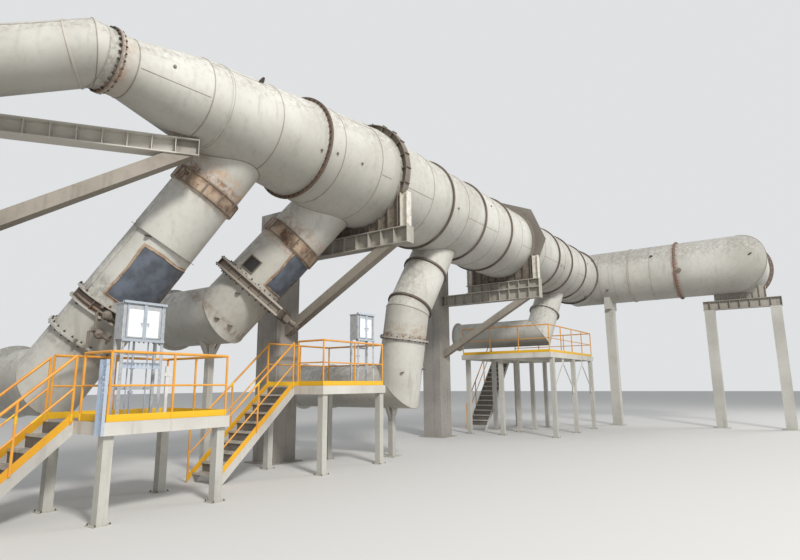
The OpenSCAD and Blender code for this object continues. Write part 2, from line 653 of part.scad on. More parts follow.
// Stair of width stair_w that climbs along +X to the top edge x, between y and y + stair_w
module stair(x, y, rise, pitch) {
    run = rise / tan(pitch);
    n = round(rise / 210);
    for (s = [0, 1]) translate([x - run, y + s * (stair_w - 20), 0])
        rotate([90, 0, 0]) mirror([0, 0, 1]) linear_extrude(20)
        polygon([[0, 0], [run, rise], [run, rise - 220], [220 / tan(pitch), 0]]);
    for (i = [1 : n - 1]) translate([x - run + (i - 0.35) * run / n, y + 19, i * rise / n - 30])
        cube([250, stair_w - 38, 30]);
}
// Hand rails of such a stair, at its low side where sides holds 0 and its high side where it holds 1:
// top and middle rail on n + 1 posts that stand on the stringers, just clear of the treads
module stair_rails(x, y, rise, pitch, n, sides = [0, 1]) {
    run = rise / tan(pitch);
    slope = [cos(pitch), 0, sin(pitch)];
    span = norm([run, rise]);
    for (s = sides) translate([x - run, y + s * stair_w + (2 * s - 1) * 4, 0]) difference() {
        union() {
            for (h = [rail_h - rail_d / 2, rail_h / 2])
                rod(slope * 60 + [0, 0, h], slope * (span - 60) + [0, 0, h],
                    h > rail_h / 2 ? rail_d / 2 : rail_d / 2 - 7);
            for (i = [0 : n]) translate(slope * (60 + i * (span - 120) / n) - [0, 0, 60])
                cylinder(r = rail_d / 2 - 3, h = rail_h + 60 - rail_d / 2, $fn = 24);
        }
        translate([0, 0, seat_gap / cos(pitch)]) rotate([0, -pitch, 0])
            box([-300, -100, -300], [span + 300, 100, 0]);
    }
}
stair_1_y = deck_1[0][1] + 950;
stair_2_y = deck_2[0][1] + 950;
stair_3_y = deck_3[1][1];
stair_3_x = deck_3[1][0] - 720;
stair_pitch = 42;
stair_3_pitch = 48;
module stair_1() color(frame_paint) union() stair(deck_1[0][0] - seat_gap, stair_1_y, deck_1_z, stair_pitch);
module stair_2() color(frame_paint) union() stair(deck_2[0][0] - seat_gap, stair_2_y, deck_2_z, stair_pitch);
module stair_3() color(frame_paint) union() stair(stair_3_x, stair_3_y, deck_3_z, stair_3_pitch);
module platform_2_deck() color(frame_paint) union() deck(deck_2, deck_2_z);
module platform_2_posts() color(frame_paint)
    posts([deck_2[0][0] + 120, deck_2[1][0] - 120], [deck_2[0][1] + 120, deck_2[1][1] - 120], deck_2_z);
module platform_2_railing() color(rail_paint) {
    lo = deck_2[0] + [inset, inset];
    hi = deck_2[1] - [inset, inset];
    guard([lo[0], lo[1]], [hi[0], lo[1]], deck_2_z, 2);
    guard([hi[0], lo[1] + rail_seat], [hi[0], hi[1] - rail_seat], deck_2_z, 2, 1, 1);
    guard([lo[0], hi[1]], [hi[0], hi[1]], deck_2_z, 2);
    guard([lo[0], stair_2_y - 60], [lo[0], lo[1] + rail_seat], deck_2_z, 1, 0, 0);
    stair_rails(deck_2[0][0] - seat_gap, stair_2_y, deck_2_z, stair_pitch, 2);
}
module platform_3_deck() color(frame_paint) union() deck(deck_3, deck_3_z, [deck_3_mid]);
front_post_y = deck_3[0][1] + 70;
module post_row(n, y) {
    a = deck_3[0][0] + 300;
    step = (deck_3[1][0] - 300 - a) / (n - 1);
    posts([for (i = [0 : n - 1]) a + i * step], [y], deck_3_z);
}
module platform_3_posts() color(frame_paint) {
    post_row(3, front_post_y);
    post_row(4, deck_3_mid);
    post_row(3, deck_3[1][1] - 150);
}
// Under the front channel, between each two front posts: a hanger plate, with two rods down to the posts
module platform_3_braces() color("white") {
    step = (deck_3[1][0] - deck_3[0][0] - 600) / 2;
    top = deck_3_z - channel_h - seat_gap;
    for (i = [0, 1]) translate([deck_3[0][0] + 300 + (i + 0.5) * step, front_post_y, top]) union() {
        box([-110, -6, -280], [110, 6, 0]);
        for (s = [-1, 1]) {
            rod([s * 40, 0, -230], [s * (step - post_w - 60) / 2, 0, -1230], 22);
            box([s * (step - post_w) / 2 - (s + 1) * 60 - s * seat_gap, -6, -1400],
                [s * (step - post_w) / 2 - (s - 1) * 60 - s * seat_gap, 6, -1150]);
        }
    }
}
module platform_3_railing() color(rail_paint) {
    lo = deck_3[0] + [inset, inset];
    hi = deck_3[1] - [inset, inset];
    guard([lo[0], lo[1]], [hi[0], lo[1]], deck_3_z, 4);
    guard([hi[0], lo[1] + rail_seat], [hi[0], hi[1]], deck_3_z, 3, 1, 3);
    guard([lo[0], lo[1] + rail_seat], [lo[0], hi[1]], deck_3_z, 3, 1, 3);
    stair_rails(stair_3_x, stair_3_y, deck_3_z, stair_3_pitch, 3, [1]);
}

// A cabinet with two doors facing -Y, on a stand of perforated bars from the deck at height z.
// x is the cabinet's low side and y its front.
cabinet_d = 250;
cabinet_h = 640;
bar_w = 60;
bar_t = 6;
module perforated(size, pitch) {
    difference() {
        cube(size);
        for (z = [pitch : pitch : size[2] - pitch / 2]) translate([size[0] / 2, -5, z]) rotate([-90, 0, 0])
            cylinder(r = 11, h = size[1] + 10, $fn = 16);
    }
}
module panel(x, y, w, z, base) {
    door_w = (w - 2 * bar_w - 60) / 2;
    for (i = [0, 1]) translate([x + i * (w - bar_w), y - bar_t - seat_gap, z])
        perforated([bar_w, bar_t, base + cabinet_h + 40 - z], 100);
    union() {
        box([x, y, base], [x + w, y + cabinet_d, base + cabinet_h]);
        box([x - 15, y + 5, base + cabinet_h - 5], [x + w + 15, y + cabinet_d + 15, base + cabinet_h + 15]);
        for (i = [0, 1]) translate([x + bar_w + 20 + i * (door_w + 20), y - 14, base + 30])
            cube([door_w, 20, cabinet_h - 60]);
        for (i = [0, 1]) translate([x + i * (w - 50), y + cabinet_d - 45, z + seat_gap])
            cube([50, 40, base - z]);
        for (h = [0.35, 0.8]) box([x + 20, y + cabinet_d - 40, z + h * (base - z)],
            [x + w - 20, y + cabinet_d - 34, z + h * (base - z) + 50]);
    }
}
panel_y = -2250;
panel_2_y = deck_2[0][1] + 150;
panel_1_x = -5740;
module panel_1() color("gainsboro") panel(panel_1_x, panel_y, 810, deck_1_z, 2860);
module panel_2() color("gainsboro") panel(300, panel_2_y, 700, deck_2_z, 3210);
// Perforated tray of width w and length len, along +X, its open side up
module tray(len, w) difference() {
    box([0, 0, 0], [len, w, 50]);
    box([-5, 2, 2], [len + 5, w - 2, 60]);
    for (i = [1 : floor(len / 80) - 1]) for (j = [0.25, 0.5, 0.75]) translate([i * 80, j * w, -5])
        cylinder(r = 14, h = 20, $fn = 12);
}
tray_w = 200;
tray_z = 2450;
// One tray stands beside the deck's corner, the other is held by the bars of the first cabinet
module cable_tray() color("gainsboro") {
    translate([deck_1[0][0] - seat_gap, deck_1[0][1], deck_1_z - channel_h]) rotate([0, -90, 0])
        tray(tray_z - deck_1_z + channel_h, tray_w);
    translate([panel_1_x + bar_w, panel_y - bar_t - 2 * seat_gap, tray_z - tray_w / 2]) rotate([90, 0, 0])
        tray(690, tray_w / 2);
}

inlet_duct();
inlet_cone();
taper_duct();
main_duct_1();
main_duct_2();
main_duct_3();
corner_duct();
end_duct();
stiffener_rings();
ring_girder_1();
ring_girder_2();
saddles();
bracket_beams();
bracket_struts();
bracket_columns();
corner_column();
end_columns();
end_girder();
branch_1_duct();
branch_1_joint();
branch_1_middle();
branch_1_damper();
branch_1_tie_rods();
branch_1_lower();
branch_1_elbow();
branch_1_run();
branch_2_duct();
branch_2_joint();
branch_2_lower();
branch_2_damper();
branch_2_elbow();
branch_2_run();
branch_2_post();
branch_3_duct();
branch_3_bend();
branch_3_elbow();
branch_3_run();
branch_3_post();
branch_4_duct();
branch_4_elbow();
branch_4_run();
platform_1_deck();
platform_1_posts();
platform_1_railing();
stair_1();
platform_2_deck();
platform_2_posts();
platform_2_railing();
stair_2();
platform_3_deck();
platform_3_posts();
platform_3_railing();
stair_3();
platform_3_braces();
panel_1();
panel_2();
cable_tray();
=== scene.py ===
import json
import math

import bmesh
import bpy
from mathutils import Matrix, Vector


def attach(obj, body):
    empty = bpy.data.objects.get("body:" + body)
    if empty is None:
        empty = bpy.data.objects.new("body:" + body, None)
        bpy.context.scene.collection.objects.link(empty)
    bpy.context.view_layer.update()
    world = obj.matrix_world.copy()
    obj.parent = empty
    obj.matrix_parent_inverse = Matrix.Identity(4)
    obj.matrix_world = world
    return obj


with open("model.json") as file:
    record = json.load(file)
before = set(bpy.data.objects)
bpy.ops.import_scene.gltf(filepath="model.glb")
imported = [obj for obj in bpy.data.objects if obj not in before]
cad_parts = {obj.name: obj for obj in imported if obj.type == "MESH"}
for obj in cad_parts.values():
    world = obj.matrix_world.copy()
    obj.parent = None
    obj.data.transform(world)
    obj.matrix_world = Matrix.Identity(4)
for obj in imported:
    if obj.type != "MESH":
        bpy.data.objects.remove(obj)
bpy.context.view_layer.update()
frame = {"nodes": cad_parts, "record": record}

NODES = frame["nodes"]

# Driving sizes of the plant, in metres, as its model has them
AXIS_Y = -3.03
AXIS_Z = 7.38
MAIN_R = 1.32
INLET_R = 0.52
KNEE_R = 0.81
JOINT_1_R = 1.11
BRANCH_R = {"1": 0.66, "2": 0.72, "3": 0.64, "4": 0.60}
FLANGE_H = 0.085
FLANGE_T = 0.028
INLET_X = -6.83
CONE_X = -6.53
KNEE_X = -5.26
JOINT_1_X = -2.51
TAPER_END_X = -0.38
BRACKET_1_X = 0.0
BRACKET_2_X = 8.64
JOINT_2_X = 17.0
CROSS_X = 18.6
CROSS_JOINT = 4.82
CROSS_RUN = 7.12
OUTLET_RUN = 1.78
OUTLET_FACE = 0.01
# Stations on the branches, from the main's axis or, on branch 3, from its bend
BAND_1 = (1.55, 1.87)
BAND_2 = (2.23, 2.60)
COLLAR_1 = 3.06
BELLOWS_1 = (4.60, 4.80)
FLANGE_1 = 5.40
FLANGE_3 = 0.80
FLANGE_4 = 2.50
GATE_AT = 3.78
GATE_LEN = 0.23
# The slide gate's housing across branch 2: above and below its axis, and sideways
GATE_UP = 0.76
GATE_DOWN = 1.14
GATE_W = 1.77
# Decks: low X, low Y, high X, high Y and the top's height
DECK_1 = (-6.43, -3.25, -4.13, -1.23, 1.50)
DECK_2 = (-1.13, -2.80, 1.32, -0.75, 2.02)
DECK_3 = (10.12, -4.25, 15.72, -0.35, 3.24)
STAIR_W = 0.9
STAIR_PITCH = 42
STAIR_3_PITCH = 48
TREAD_D = 0.245
TREAD_RISE = 0.21
TOE_H = 0.11
STRIP_H = 0.15
PANEL_D = 0.25
PANEL_H = 0.64
# Grey margins round the bright panes of a cabinet: left, right, below and above
PANE_MARGINS = (0.10, 0.13, 0.05, 0.10)
# Cabinets: low X, front Y, width, the deck's height and the cabinet's underside
PANELS = {"panel_1": (-5.74, -2.25, 0.81, 1.50, 2.86), "panel_2": (0.30, -2.65, 0.70, 2.02, 3.21)}

# Camera: the photograph's own place, heading, pitch, roll and lens
CAM_AT = Vector((-10.98, -11.85, 2.03))
CAM_HEADING = 34.79
CAM_PITCH = 10.64
CAM_ROLL = -0.44
CAM_LENS = 25.07

# Weld bead, points of a circle, floor and sky
BEAD = 0.009
ROUND = 96
FLOOR_HALF = 140
WORLD_LIGHT = 0.55


def new_object(name, data):
    """An object in the scene."""
    obj = bpy.data.objects.new(name, data)
    bpy.context.scene.collection.objects.link(obj)
    return obj


def make_camera():
    """The camera at the photograph's place."""
    data = bpy.data.cameras.new("camera")
    data.lens = CAM_LENS
    data.sensor_width = 36
    data.clip_end = 500
    cam = new_object("camera", data)
    cam.matrix_world = (Matrix.Translation(CAM_AT)
                        @ Matrix.Rotation(math.radians(CAM_HEADING - 90), 4, "Z")
                        @ Matrix.Rotation(math.radians(90 + CAM_PITCH), 4, "X")
                        @ Matrix.Rotation(math.radians(CAM_ROLL), 4, "Z"))
    bpy.context.scene.camera = cam


def heading(turn, descent):
    """A unit direction, turned from +X towards +Y and pointing down by the descent, in degrees."""
    t, d = math.radians(turn), math.radians(descent)
    return Vector((math.cos(t) * math.cos(d), math.sin(t) * math.cos(d), -math.sin(d)))


class Duct:
    """A straight duct: its start, direction and radius, and points on its surface."""

    def __init__(self, start, direction, radius):
        self.start = Vector(start)
        self.dir = Vector(direction).normalized()
        self.radius = radius
        tilt = math.acos(self.dir.z)
        turn = math.atan2(self.dir.y, self.dir.x)
        self.ex = Vector((math.cos(turn) * math.cos(tilt), math.sin(turn) * math.cos(tilt), -math.sin(tilt)))
        self.ey = Vector((-math.sin(turn), math.cos(turn), 0))

    def out(self, angle):
        """The direction away from the axis at an angle, in degrees."""
        a = math.radians(angle)
        return math.cos(a) * self.ex + math.sin(a) * self.ey

    def radius_at(self, _):
        return self.radius

    def at(self, s, angle, lift=0.0):
        """The surface point at a station and an angle, lifted off the shell."""
        return self.start + self.dir * s + self.out(angle) * (self.radius_at(s) + lift)

    def circle(self, s, lift=0.0, count=ROUND):
        return [self.at(s, 360 * i / count, lift) for i in range(count)]


class MainDuct(Duct):
    """The main, whose stations are its X values and whose radius follows its cones."""

    STEPS = ((INLET_X, INLET_R), (CONE_X, INLET_R), (KNEE_X, KNEE_R), (JOINT_1_X, JOINT_1_R),
             (TAPER_END_X, MAIN_R), (CROSS_X, MAIN_R))

    def radius_at(self, s):
        for (x0, r0), (x1, r1) in zip(self.STEPS, self.STEPS[1:]):
            if s <= x1:
                return r0 + (r1 - r0) * max(0.0, s - x0) / (x1 - x0)
        return MAIN_R


def up_from_front(elevation):
    """The main's angle at an elevation above the horizontal on its -Y side."""
    return -90 - elevation


MAIN = MainDuct((0, AXIS_Y, AXIS_Z), (1, 0, 0), MAIN_R)
CROSS = Duct((CROSS_X, AXIS_Y, AXIS_Z), (0, -1, 0), MAIN_R)
OUTLET = Duct((CROSS_X, AXIS_Y - CROSS_RUN, AXIS_Z), (1, 0, 0), MAIN_R)
BEND_0 = Vector((INLET_X - 0.24, AXIS_Y, AXIS_Z))
INLET = Duct(BEND_0, heading(144, 17), INLET_R)


def branch(key, x, turn, descent):
    """A branch that leaves the main's axis at a station."""
    return Duct((x, AXIS_Y, AXIS_Z), heading(turn, descent), BRANCH_R[key])


def knee_of(duct, level):
    """The point of a branch's axis at a level."""
    return duct.start + duct.dir * (AXIS_Z - level) / -duct.dir.z


B1 = branch("1", -3.63, 128, 55)
B2 = branch("2", -0.32, 129, 49)
B3 = branch("3", 4.51, 168, 59.6)
B4 = branch("4", 14.92, 168, 60)
KNEE_1 = knee_of(B1, 2.15)
KNEE_2 = knee_of(B2, 3.76)
KNEE_4 = knee_of(B4, 4.30)
BEND_3 = B3.start + B3.dir * 3.75
KNEE_3 = Vector((BEND_3.x - 0.05, BEND_3.y + 0.3, 2.0))
B3_LOW = Duct(BEND_3, KNEE_3 - BEND_3, BRANCH_R["3"])
RUNS = {key: Duct(knee, (0, 1, 0), BRANCH_R[key])
        for key, knee in (("1", KNEE_1), ("2", KNEE_2), ("3", KNEE_3), ("4", KNEE_4))}


class Graph:
    """A material's node tree, with short calls for the nodes that the surfaces below share."""

    def __init__(self, name):
        self.mat = bpy.data.materials.new(name)
        self.mat.use_nodes = True
        self.tree = self.mat.node_tree
        self.tree.nodes.clear()
        out = self.tree.nodes.new("ShaderNodeOutputMaterial")
        self.bsdf = self.tree.nodes.new("ShaderNodeBsdfPrincipled")
        self.tree.links.new(self.bsdf.outputs[0], out.inputs[0])
        self.place = self.node("TexCoord", (), "Object")
        self.normal = self.node("NewGeometry", (), "Normal")

    def link(self, value, socket):
        """Join another node's output to a socket, or set the socket to a plain value."""
        if isinstance(value, bpy.types.NodeSocket):
            self.tree.links.new(value, socket)
        elif value is not None:
            socket.default_value = value

    def node(self, kind, inputs, out=0, **settings):
        """One output of a new node, with its settings made and its inputs linked or set."""
        n = self.tree.nodes.new("ShaderNode" + kind)
        for key, value in settings.items():
            setattr(n, key, value)
        for key, value in inputs.items() if isinstance(inputs, dict) else enumerate(inputs):
            self.link(value, n.inputs[key])
        return n.outputs[out]

    def math(self, op, a, b=None):
        return self.node("Math", (a, b), operation=op)

    def times(self, a, b):
        return self.math("MULTIPLY", a, b)

    def vector(self, op, a, b=None):
        out = "Value" if op in ("DOT_PRODUCT", "LENGTH") else "Vector"
        return self.node("VectorMath", (a, b), out, operation=op)

    def ramp(self, value, low, high, to_low=0.0, to_high=1.0):
        """A smooth step from one value to another while the input goes from low to high."""
        return self.node("MapRange", (value, low, high, to_low, to_high), clamp=True,
                         interpolation_type="SMOOTHSTEP")

    def noise(self, scale, detail, rough, stretch=(1, 1, 1), offset=(0, 0, 0), distort=0.0):
        """Noise in the object's own place, finer with a larger scale."""
        place = self.node("Mapping", {0: self.place, "Scale": stretch, "Location": offset})
        return self.node("TexNoise", {"Vector": place, "Scale": scale, "Detail": detail, "Roughness": rough,
                                      "Distortion": distort})

    def mix(self, share, a, b):
        """A colour between two, given as three numbers or as a node's output."""
        a, b = ((*v, 1) if isinstance(v, tuple) else v for v in (a, b))
        return self.node("Mix", {0: share, 6: a, 7: b}, 2, data_type="RGBA", clamp_factor=True)

    def part(self, vector, axis):
        """One component of a vector or colour."""
        return self.node("SeparateXYZ", (vector,), axis)

    def bump(self, height, strength, distance):
        out = self.node("Bump", {"Height": height, "Strength": strength, "Distance": distance})
        self.link(out, self.bsdf.inputs["Normal"])

    def along(self, duct):
        """The station of the shaded point along a duct's axis."""
        s = self.vector("DOT_PRODUCT", self.place, tuple(duct.dir))
        return self.math("SUBTRACT", s, duct.start.dot(duct.dir))

    def off_axis(self, duct):
        """The shaded point's distance from a duct's axis."""
        away = self.vector("SUBTRACT", self.place, tuple(duct.start))
        return self.vector("LENGTH", self.vector("CROSS_PRODUCT", away, tuple(duct.dir)))

    def window(self, value, low, high, soft):
        """1 between low and high, fading to 0 over soft on both sides."""
        rise = self.ramp(value, low - soft, low)
        fall = self.ramp(value, high, high + soft, 1, 0)
        return self.times(rise, fall)

    def finish(self, colour, roughness, metallic=0.0):
        self.link(colour, self.bsdf.inputs["Base Color"])
        self.link(roughness, self.bsdf.inputs["Roughness"])
        self.bsdf.inputs["Metallic"].default_value = metallic
        return self.mat


def shaded(tone, share):
    """A tone darkened to a share of itself."""
    return tuple(share * c for c in tone)


RUST = (0.17, 0.075, 0.033)
RUST_LIGHT = (0.42, 0.21, 0.10)
RED_DUST = (0.26, 0.10, 0.05)
SOOT = (0.10, 0.085, 0.07)


def stain(duct, low, high, soft, tone, strength, scale, solid=0.0, rim=None):
    """A band across a duct between two stations, broken up by noise, as a step that a paint takes: rust,
    soot and dirt, and on beam 0 painted sunlight. With a rim, it lies only on what is further off the axis."""
    def lay(g, colour):
        mask = g.window(g.along(duct), low, high, soft)
        if rim:
            mask = g.times(mask, g.ramp(g.off_axis(duct), rim, rim + 0.003))
        broken = g.ramp(g.noise(1.5 * scale, 8, 0.72, offset=(low, 2, 5), distort=0.8), 0.40, 0.64)
        share = g.times(g.times(mask, g.math("MAXIMUM", broken, solid)), strength)
        return g.mix(share, colour, tone)

    return lay


def weathered(name, base, shade, dust=(0.38, 0.33, 0.27), dusty=0.6, rust=0.0, rough=0.62, grime=0.4,
              rust_tone=RUST, stains=(), blotch=0.55, crust=0.0):
    """Old paint on steel: broad and fine tone, rain streaks, mottled dust and a speckled crust on what
    faces up, painted shade on what faces down, specks of rust, and the stains that its place brings."""
    g = Graph(name)
    broad = g.noise(blotch, 3, 0.5)
    fine = g.noise(8, 6, 0.62)
    colour = g.mix(g.ramp(broad, 0.35, 0.68), base, shade)
    if grime:
        streak = g.noise(5.0, 4, 0.6, stretch=(1, 1, 0.08), distort=0.3)
        colour = g.mix(g.times(g.ramp(streak, 0.53, 0.74), grime), colour, shaded(shade, 0.6))
    colour = g.mix(g.ramp(fine, 0.46, 0.76, 0, 0.24), colour, shaded(shade, 0.68))
    up = g.part(g.normal, 2)
    mottle = g.ramp(g.noise(3.4, 9, 0.72, offset=(3, 8, 1), distort=0.4), 0.38, 0.66)
    settled = g.math("MAXIMUM", g.times(g.ramp(up, 0.18, 0.72), mottle), g.ramp(up, 0.72, 1.0, 0, 0.7))
    colour = g.mix(g.times(settled, dusty), colour, dust)
    if crust:
        specks = g.noise(7.5, 10, 0.78, offset=(1, 4, 9), distort=0.5)
        top = g.times(g.ramp(up, 0.10, 0.45), crust)
        low = g.ramp(specks, 0.38, 0.50, 1, 0)
        high = g.ramp(specks, 0.53, 0.60)
        colour = g.mix(g.times(low, top), colour, shaded(dust, 0.88))
        colour = g.mix(g.times(high, top), colour, (0.68, 0.67, 0.63))
    # Painted shade: what faces down is darkened towards half the shade tone.
    colour = g.mix(g.ramp(up, -0.05, -0.85, 0, 0.5), colour, shaded(shade, 0.5))
    for lay in stains:
        colour = lay(g, colour)
    if rust:
        mask = g.ramp(g.noise(3.2, 8, 0.7, offset=(7, 3, 1)), 0.74 - 0.22 * rust, 0.80 - 0.2 * rust)
        colour = g.mix(mask, colour, rust_tone)
    g.bump(g.noise(38, 4, 0.6), 0.25, 0.004)
    return g.finish(colour, g.ramp(fine, 0.3, 0.7, rough - 0.1, rough + 0.16))


DUCT_BASE = (0.60, 0.59, 0.54)
DUCT_SHADE = (0.47, 0.455, 0.405)


def duct_paint(name, *stains):
    """The pale grey paint of the ducts, with stains of its own."""
    return weathered(name, DUCT_BASE, DUCT_SHADE, (0.35, 0.32, 0.275), 0.62, rust=0.18, stains=stains,
                     crust=0.65)


def flange_steel(duct, at, radius, tone=(0.13, 0.09, 0.065), solid=1.0):
    """The dark, rusty flange pair at a station: only what stands proud of the shell."""
    return stain(duct, at - 0.031, at + 0.031, 0.002, tone, 1.0, 9.0, solid, radius + 0.004)


def seam(duct, at, strength=0.55):
    """A narrow dirty line where two courses are welded."""
    return stain(duct, at - 0.008, at + 0.008, 0.012, SOOT, strength, 6.0, 0.55)


def rails_paint(name, deck_z):
    """Orange rails, with the deeper yellow of the toe board in the strip just above the deck."""
    g = Graph(name)
    fine = g.noise(14, 5, 0.6)
    z = g.part(g.place, 2)
    toe = g.window(z, deck_z - 0.002, deck_z + TOE_H + 0.002, 0.002)
    colour = g.mix(g.ramp(g.noise(2.2, 3, 0.5), 0.35, 0.7), (0.80, 0.38, 0.05), (0.68, 0.29, 0.04))
    colour = g.mix(toe, colour, (0.84, 0.49, 0.018))
    chips = g.ramp(g.noise(11, 8, 0.75, offset=(2, 9, 4)), 0.64, 0.68)
    colour = g.mix(g.times(chips, 0.8), colour, (0.24, 0.11, 0.04))
    up = g.part(g.normal, 2)
    colour = g.mix(g.times(g.ramp(up, 0.5, 1.0), g.ramp(fine, 0.3, 0.6, 0.15, 0.5)), colour,
                   (0.50, 0.38, 0.22))
    g.bump(g.noise(60, 3, 0.5), 0.12, 0.002)
    return g.finish(colour, g.ramp(fine, 0.3, 0.7, 0.34, 0.52))


def galvanized(name, base, rough=0.42):
    """Zinc coated sheet with a faint spangle."""
    g = Graph(name)
    spangle = g.part(g.node("TexVoronoi", {"Vector": g.place, "Scale": 45}, "Color"), 0)
    colour = g.mix(g.ramp(spangle, 0, 1, 0, 0.35), base, shaded(base, 0.7))
    colour = g.mix(g.ramp(g.noise(4, 6, 0.65), 0.5, 0.7, 0, 0.45), colour, shaded(base, 0.55))
    g.bump(g.noise(70, 3, 0.5), 0.1, 0.001)
    return g.finish(colour, g.ramp(spangle, 0, 1, rough - 0.08, rough + 0.12), 0.55)


def cabinet_paint(name, x, y, w, base):
    """Grey frame with a bright pane in each door: the door sheets stand proud of the cabinet's front."""
    g = Graph(name)
    px, py, pz = (g.part(g.place, i) for i in range(3))
    left, right, below, above = PANE_MARGINS
    door = g.ramp(py, y - 0.012, y - 0.010, 1, 0)
    door = g.times(door, g.window(px, x + left, x + w - right, 0.002))
    door = g.times(door, g.window(pz, base + below, base + PANEL_H - above, 0.002))
    fine = g.noise(10, 5, 0.6)
    colour = g.mix(g.ramp(fine, 0.4, 0.7), (0.46, 0.48, 0.50), (0.36, 0.38, 0.39))
    bright = g.mix(g.ramp(g.noise(5, 5, 0.6, stretch=(1, 1, 0.3)), 0.48, 0.72, 0, 0.3), (0.86, 0.88, 0.90),
                   (0.66, 0.66, 0.64))
    colour = g.mix(door, colour, bright)
    g.bump(g.noise(50, 3, 0.5), 0.12, 0.001)
    return g.finish(colour, g.ramp(fine, 0.3, 0.7, 0.32, 0.5))


def deck_paint(name):
    """Light channels round a chequered plate that carries dust."""
    g = Graph(name)
    up = g.ramp(g.part(g.normal, 2), 0.7, 0.9)
    fine = g.noise(9, 6, 0.6)
    colour = g.mix(g.ramp(g.noise(0.9, 3, 0.5), 0.35, 0.7), (0.66, 0.64, 0.58), (0.54, 0.52, 0.47))
    streak = g.noise(5, 4, 0.6, stretch=(1, 1, 0.1))
    colour = g.mix(g.ramp(streak, 0.56, 0.76, 0, 0.35), colour, (0.30, 0.25, 0.2))
    plate = g.mix(g.ramp(fine, 0.35, 0.7), (0.34, 0.33, 0.31), (0.24, 0.22, 0.20))
    colour = g.mix(up, colour, plate)
    px, py = g.part(g.place, 0), g.part(g.place, 1)
    lines = [g.math("SINE", g.times(g.math(op, px, py), 170.0)) for op in ("ADD", "SUBTRACT")]
    tears = g.times(g.math("MAXIMUM", lines[0], lines[1]), up)
    g.bump(g.math("ADD", tears, g.times(fine, 0.6)), 0.3, 0.003)
    return g.finish(colour, g.ramp(fine, 0.3, 0.7, 0.5, 0.72))


RINGS_STEEL = weathered("ring_steel", (0.15, 0.125, 0.10), (0.10, 0.08, 0.065), dusty=0.55, rust=0.75)
GIRDER_STEEL = weathered("girder_steel", (0.24, 0.205, 0.165), (0.17, 0.14, 0.11), rust=0.6)
PLATE_STEEL = weathered("octagon_steel", (0.27, 0.24, 0.205), (0.20, 0.175, 0.15), dusty=0.5, rust=0.3)
BOLT_STEEL = weathered("bolt_steel", (0.085, 0.065, 0.05), (0.055, 0.042, 0.034), dusty=0.4, rust=0.9,
                       grime=0)
WELD = weathered("weld_bead", (0.42, 0.38, 0.32), (0.28, 0.24, 0.20), dusty=0.5, rust=0.6, grime=0)
LIGHT_STEEL = weathered("light_steel", (0.62, 0.59, 0.52), (0.50, 0.47, 0.41), rust=0.3)
# Beam 0, by the inlet, is painted lighter than the other beams: painted sunlight.
BEAM_PAINT = weathered("beam_paint", (0.42, 0.395, 0.345), (0.33, 0.305, 0.265), rust=0.25,
                       stains=(stain(MAIN, -12, -5.5, 0.1, (0.58, 0.555, 0.495), 0.85, 2, 1.0),))
STRUT_PAINT = weathered("strut_paint", (0.34, 0.305, 0.255), (0.24, 0.21, 0.17), rust=0.35)
CONCRETE = weathered("column_paint", (0.37, 0.345, 0.31), (0.27, 0.25, 0.225), rust=0.12, grime=0.7)
POST_PAINT = weathered("post_paint", (0.55, 0.54, 0.49), (0.44, 0.43, 0.385), rust=0.15, dusty=0.4)
GATE_STEEL = weathered("gate_steel", (0.26, 0.22, 0.175), (0.17, 0.14, 0.11), dusty=0.5, rust=0.55)
STAIR_PAINT = weathered("stair_paint", (0.60, 0.58, 0.53), (0.48, 0.46, 0.42), rust=0.2, dusty=0.5)
TREAD_STEEL = weathered("tread_steel", (0.20, 0.185, 0.165), (0.13, 0.12, 0.105), rust=0.3, dusty=0.5)
WHITE_STEEL = weathered("white_steel", (0.74, 0.73, 0.70), (0.62, 0.61, 0.58), rust=0.15)
ZINC = galvanized("zinc", (0.50, 0.55, 0.61))
TRAY_ZINC = galvanized("tray_zinc", (0.58, 0.66, 0.77), 0.36)
TOE_STRIP = weathered("toe_strip_paint", (0.84, 0.45, 0.022), (0.72, 0.35, 0.02), dusty=0.3, grime=0.25,
                      rust=0.12, rough=0.45)
BELLOWS = weathered("bellows_steel", (0.22, 0.175, 0.135), (0.15, 0.11, 0.085), rust=0.8, dusty=0.4)
PATCH_BLUE = weathered("patch_steel", (0.125, 0.145, 0.18), (0.075, 0.085, 0.105), rust=0.3, rough=0.5,
                       grime=0.8, dusty=0.3, blotch=4.0)
SCORCHED = weathered("scorched_rim", (0.46, 0.35, 0.25), (0.28, 0.17, 0.105), rust=0.6, grime=0.5,
                     dusty=0.3, blotch=6.0)
# Near-black for the insides of branch 2's slots and hatch: painted shade.
HOLLOW = weathered("hollow_dark", (0.03, 0.028, 0.026), (0.02, 0.02, 0.018), dusty=0.1, grime=0)
BAND_RUST = weathered("rusty_joint", (0.50, 0.38, 0.27), (0.19, 0.12, 0.08), rust=0.85, grime=0.8,
                      dusty=0.35, rust_tone=(0.12, 0.07, 0.045), blotch=4.5)

SLOT_MATERIALS = {
    "duct_shell": duct_paint("duct_paint"),
    "ring_steel": RINGS_STEEL,
    "rusty_joints": BAND_RUST,
    "dampers": GATE_STEEL,
    "columns": CONCRETE,
    "decks": deck_paint("deck_paint"),
    "platform_posts": POST_PAINT,
    "guard_rails": rails_paint("rail_paint", 90.0),
    "stairs": STAIR_PAINT,
    "cabinets": ZINC,
    "bright_steel": ZINC,
}

MAIN_SEAMS = (-3.73, -2.02, -0.80, 1.52, 3.55, 5.65, 7.65, 9.95, 12.35, 14.2, 16.1)


